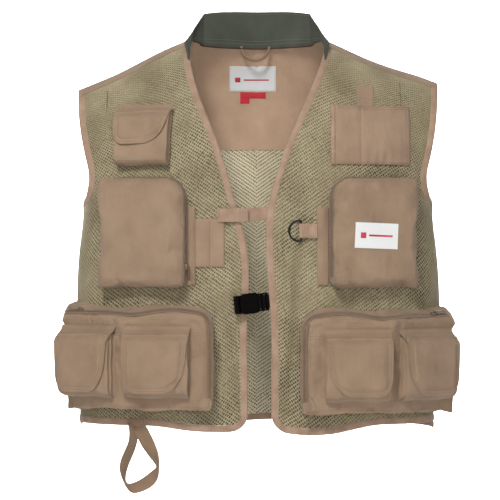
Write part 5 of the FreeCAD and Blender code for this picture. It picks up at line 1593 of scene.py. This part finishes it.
for node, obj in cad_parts.items():
    if node in ("buckle_socket", "buckle_plug", "buckle_prong_upper", "buckle_prong_lower"):
        material = BLACK
    elif node == "d_ring":
        material = RING
    elif node.endswith(("_slider", "_pull")):
        material = SLIDER
    else:
        continue
    obj.data.materials.clear()
    obj.data.materials.append(material)
    obj.data.polygons.foreach_set("use_smooth", [True] * len(obj.data.polygons))
    obj.data.set_sharp_from_angle(angle=math.radians(35))

# --- The net panels' own seams ----------------------------------------------------------------

SEAM_DARK = thread_material("net_seam", (58, 48, 34), (84, 70, 52))
for name, x, low_z, high_z in (("right", -213, -100, -66), ("left", 204, -128, -62)):
    seam = torso_seam([(x, low_z), (x, high_z)], FRONT, 1.4)
    stitches(f"{name}_net_seam", [seam], SEAM_DARK, pitch=2.0, long=1.9, thick=0.8)

# --- Names of each side's cloth pieces, set here and not used further -------------------------


for name in ("right", "left"):
    strip, front = f"{name}_shoulder_cloth", f"{name}_front_shade_sheet"
    chest, bag = f"{name}_chest_cloth", f"{name}_lower_cloth"

# --- Floor, light and camera ------------------------------------------------------------------


def white(name, bright):
    n = Nodes(name, rough=0.95)
    return n.finish(n.math("SUBTRACT", bright, n.times(n.noise(3, 2), 0.003 * bright)))


FLOOR_Z, FLOOR_REACH, FLOOR_TURN, FLOOR_HALF = -1.05, 9.0, 2.5, 12


def backdrop():
    """A pale floor that curves up into a pale wall far behind, in metres."""
    angles = np.linspace(0, math.pi / 2, 24)
    bend = FLOOR_REACH - FLOOR_TURN
    profile = [(-FLOOR_REACH, 0.0), (bend, 0.0)]
    profile += [(bend + FLOOR_TURN * math.sin(a), FLOOR_TURN - FLOOR_TURN * math.cos(a)) for a in angles[1:]]
    profile.append((FLOOR_REACH, FLOOR_REACH))
    verts = [(x, y, z + FLOOR_Z) for y, z in profile for x in (-FLOOR_HALF, FLOOR_HALF)]
    faces = [(2 * k, 2 * k + 1, 2 * k + 3, 2 * k + 2) for k in range(len(profile) - 1)]
    mesh = bpy.data.meshes.new("floor")
    mesh.from_pydata(verts, [], faces)
    mesh.polygons.foreach_set("use_smooth", [True] * len(faces))
    obj = bpy.data.objects.new("floor", mesh)
    bpy.context.scene.collection.objects.link(obj)
    mesh.materials.append(white("floor_white", 0.92))
    return obj


backdrop()
world = bpy.data.worlds.new("studio")
world.use_nodes = True
sky = world.node_tree.nodes["Background"]
sky.inputs["Color"].default_value = (1, 1, 1, 1)
sky.inputs["Strength"].default_value = 0.17
bpy.context.scene.world = world


def area_light(name, place, target, size, power):
    data = bpy.data.lights.new(name, "AREA")
    data.shape, data.size, data.energy = "DISK", size, power
    obj = bpy.data.objects.new(name, data)
    bpy.context.scene.collection.objects.link(obj)
    obj.location = place
    obj.rotation_euler = (Vector(target) - Vector(place)).to_track_quat("-Z", "Y").to_euler()


area_light("key", (-0.8, -2.9, 2.1), (0, 0, -0.3), 0.8, 102)
area_light("fill", (0.2, -3.6, 0.0), (0, 0, -0.2), 1.0, 34)
for side, x in (("left", -3.5), ("right", 3.5)):
    area_light(f"wall_{side}", (x, 4.0, 2.0), (0, 9.0, 0.3), 3.0, 900)

camera = bpy.data.objects.new("camera", bpy.data.cameras.new("camera"))
camera.data.lens, camera.data.sensor_width, camera.data.clip_end = 163.4, 36, 60
camera.location = (-0.010, -3.386, -0.305)
camera.rotation_euler = (math.pi / 2, 0, 0)
bpy.context.scene.collection.objects.link(camera)
bpy.context.scene.camera = camera
bpy.context.scene.view_settings.view_transform = "Standard"
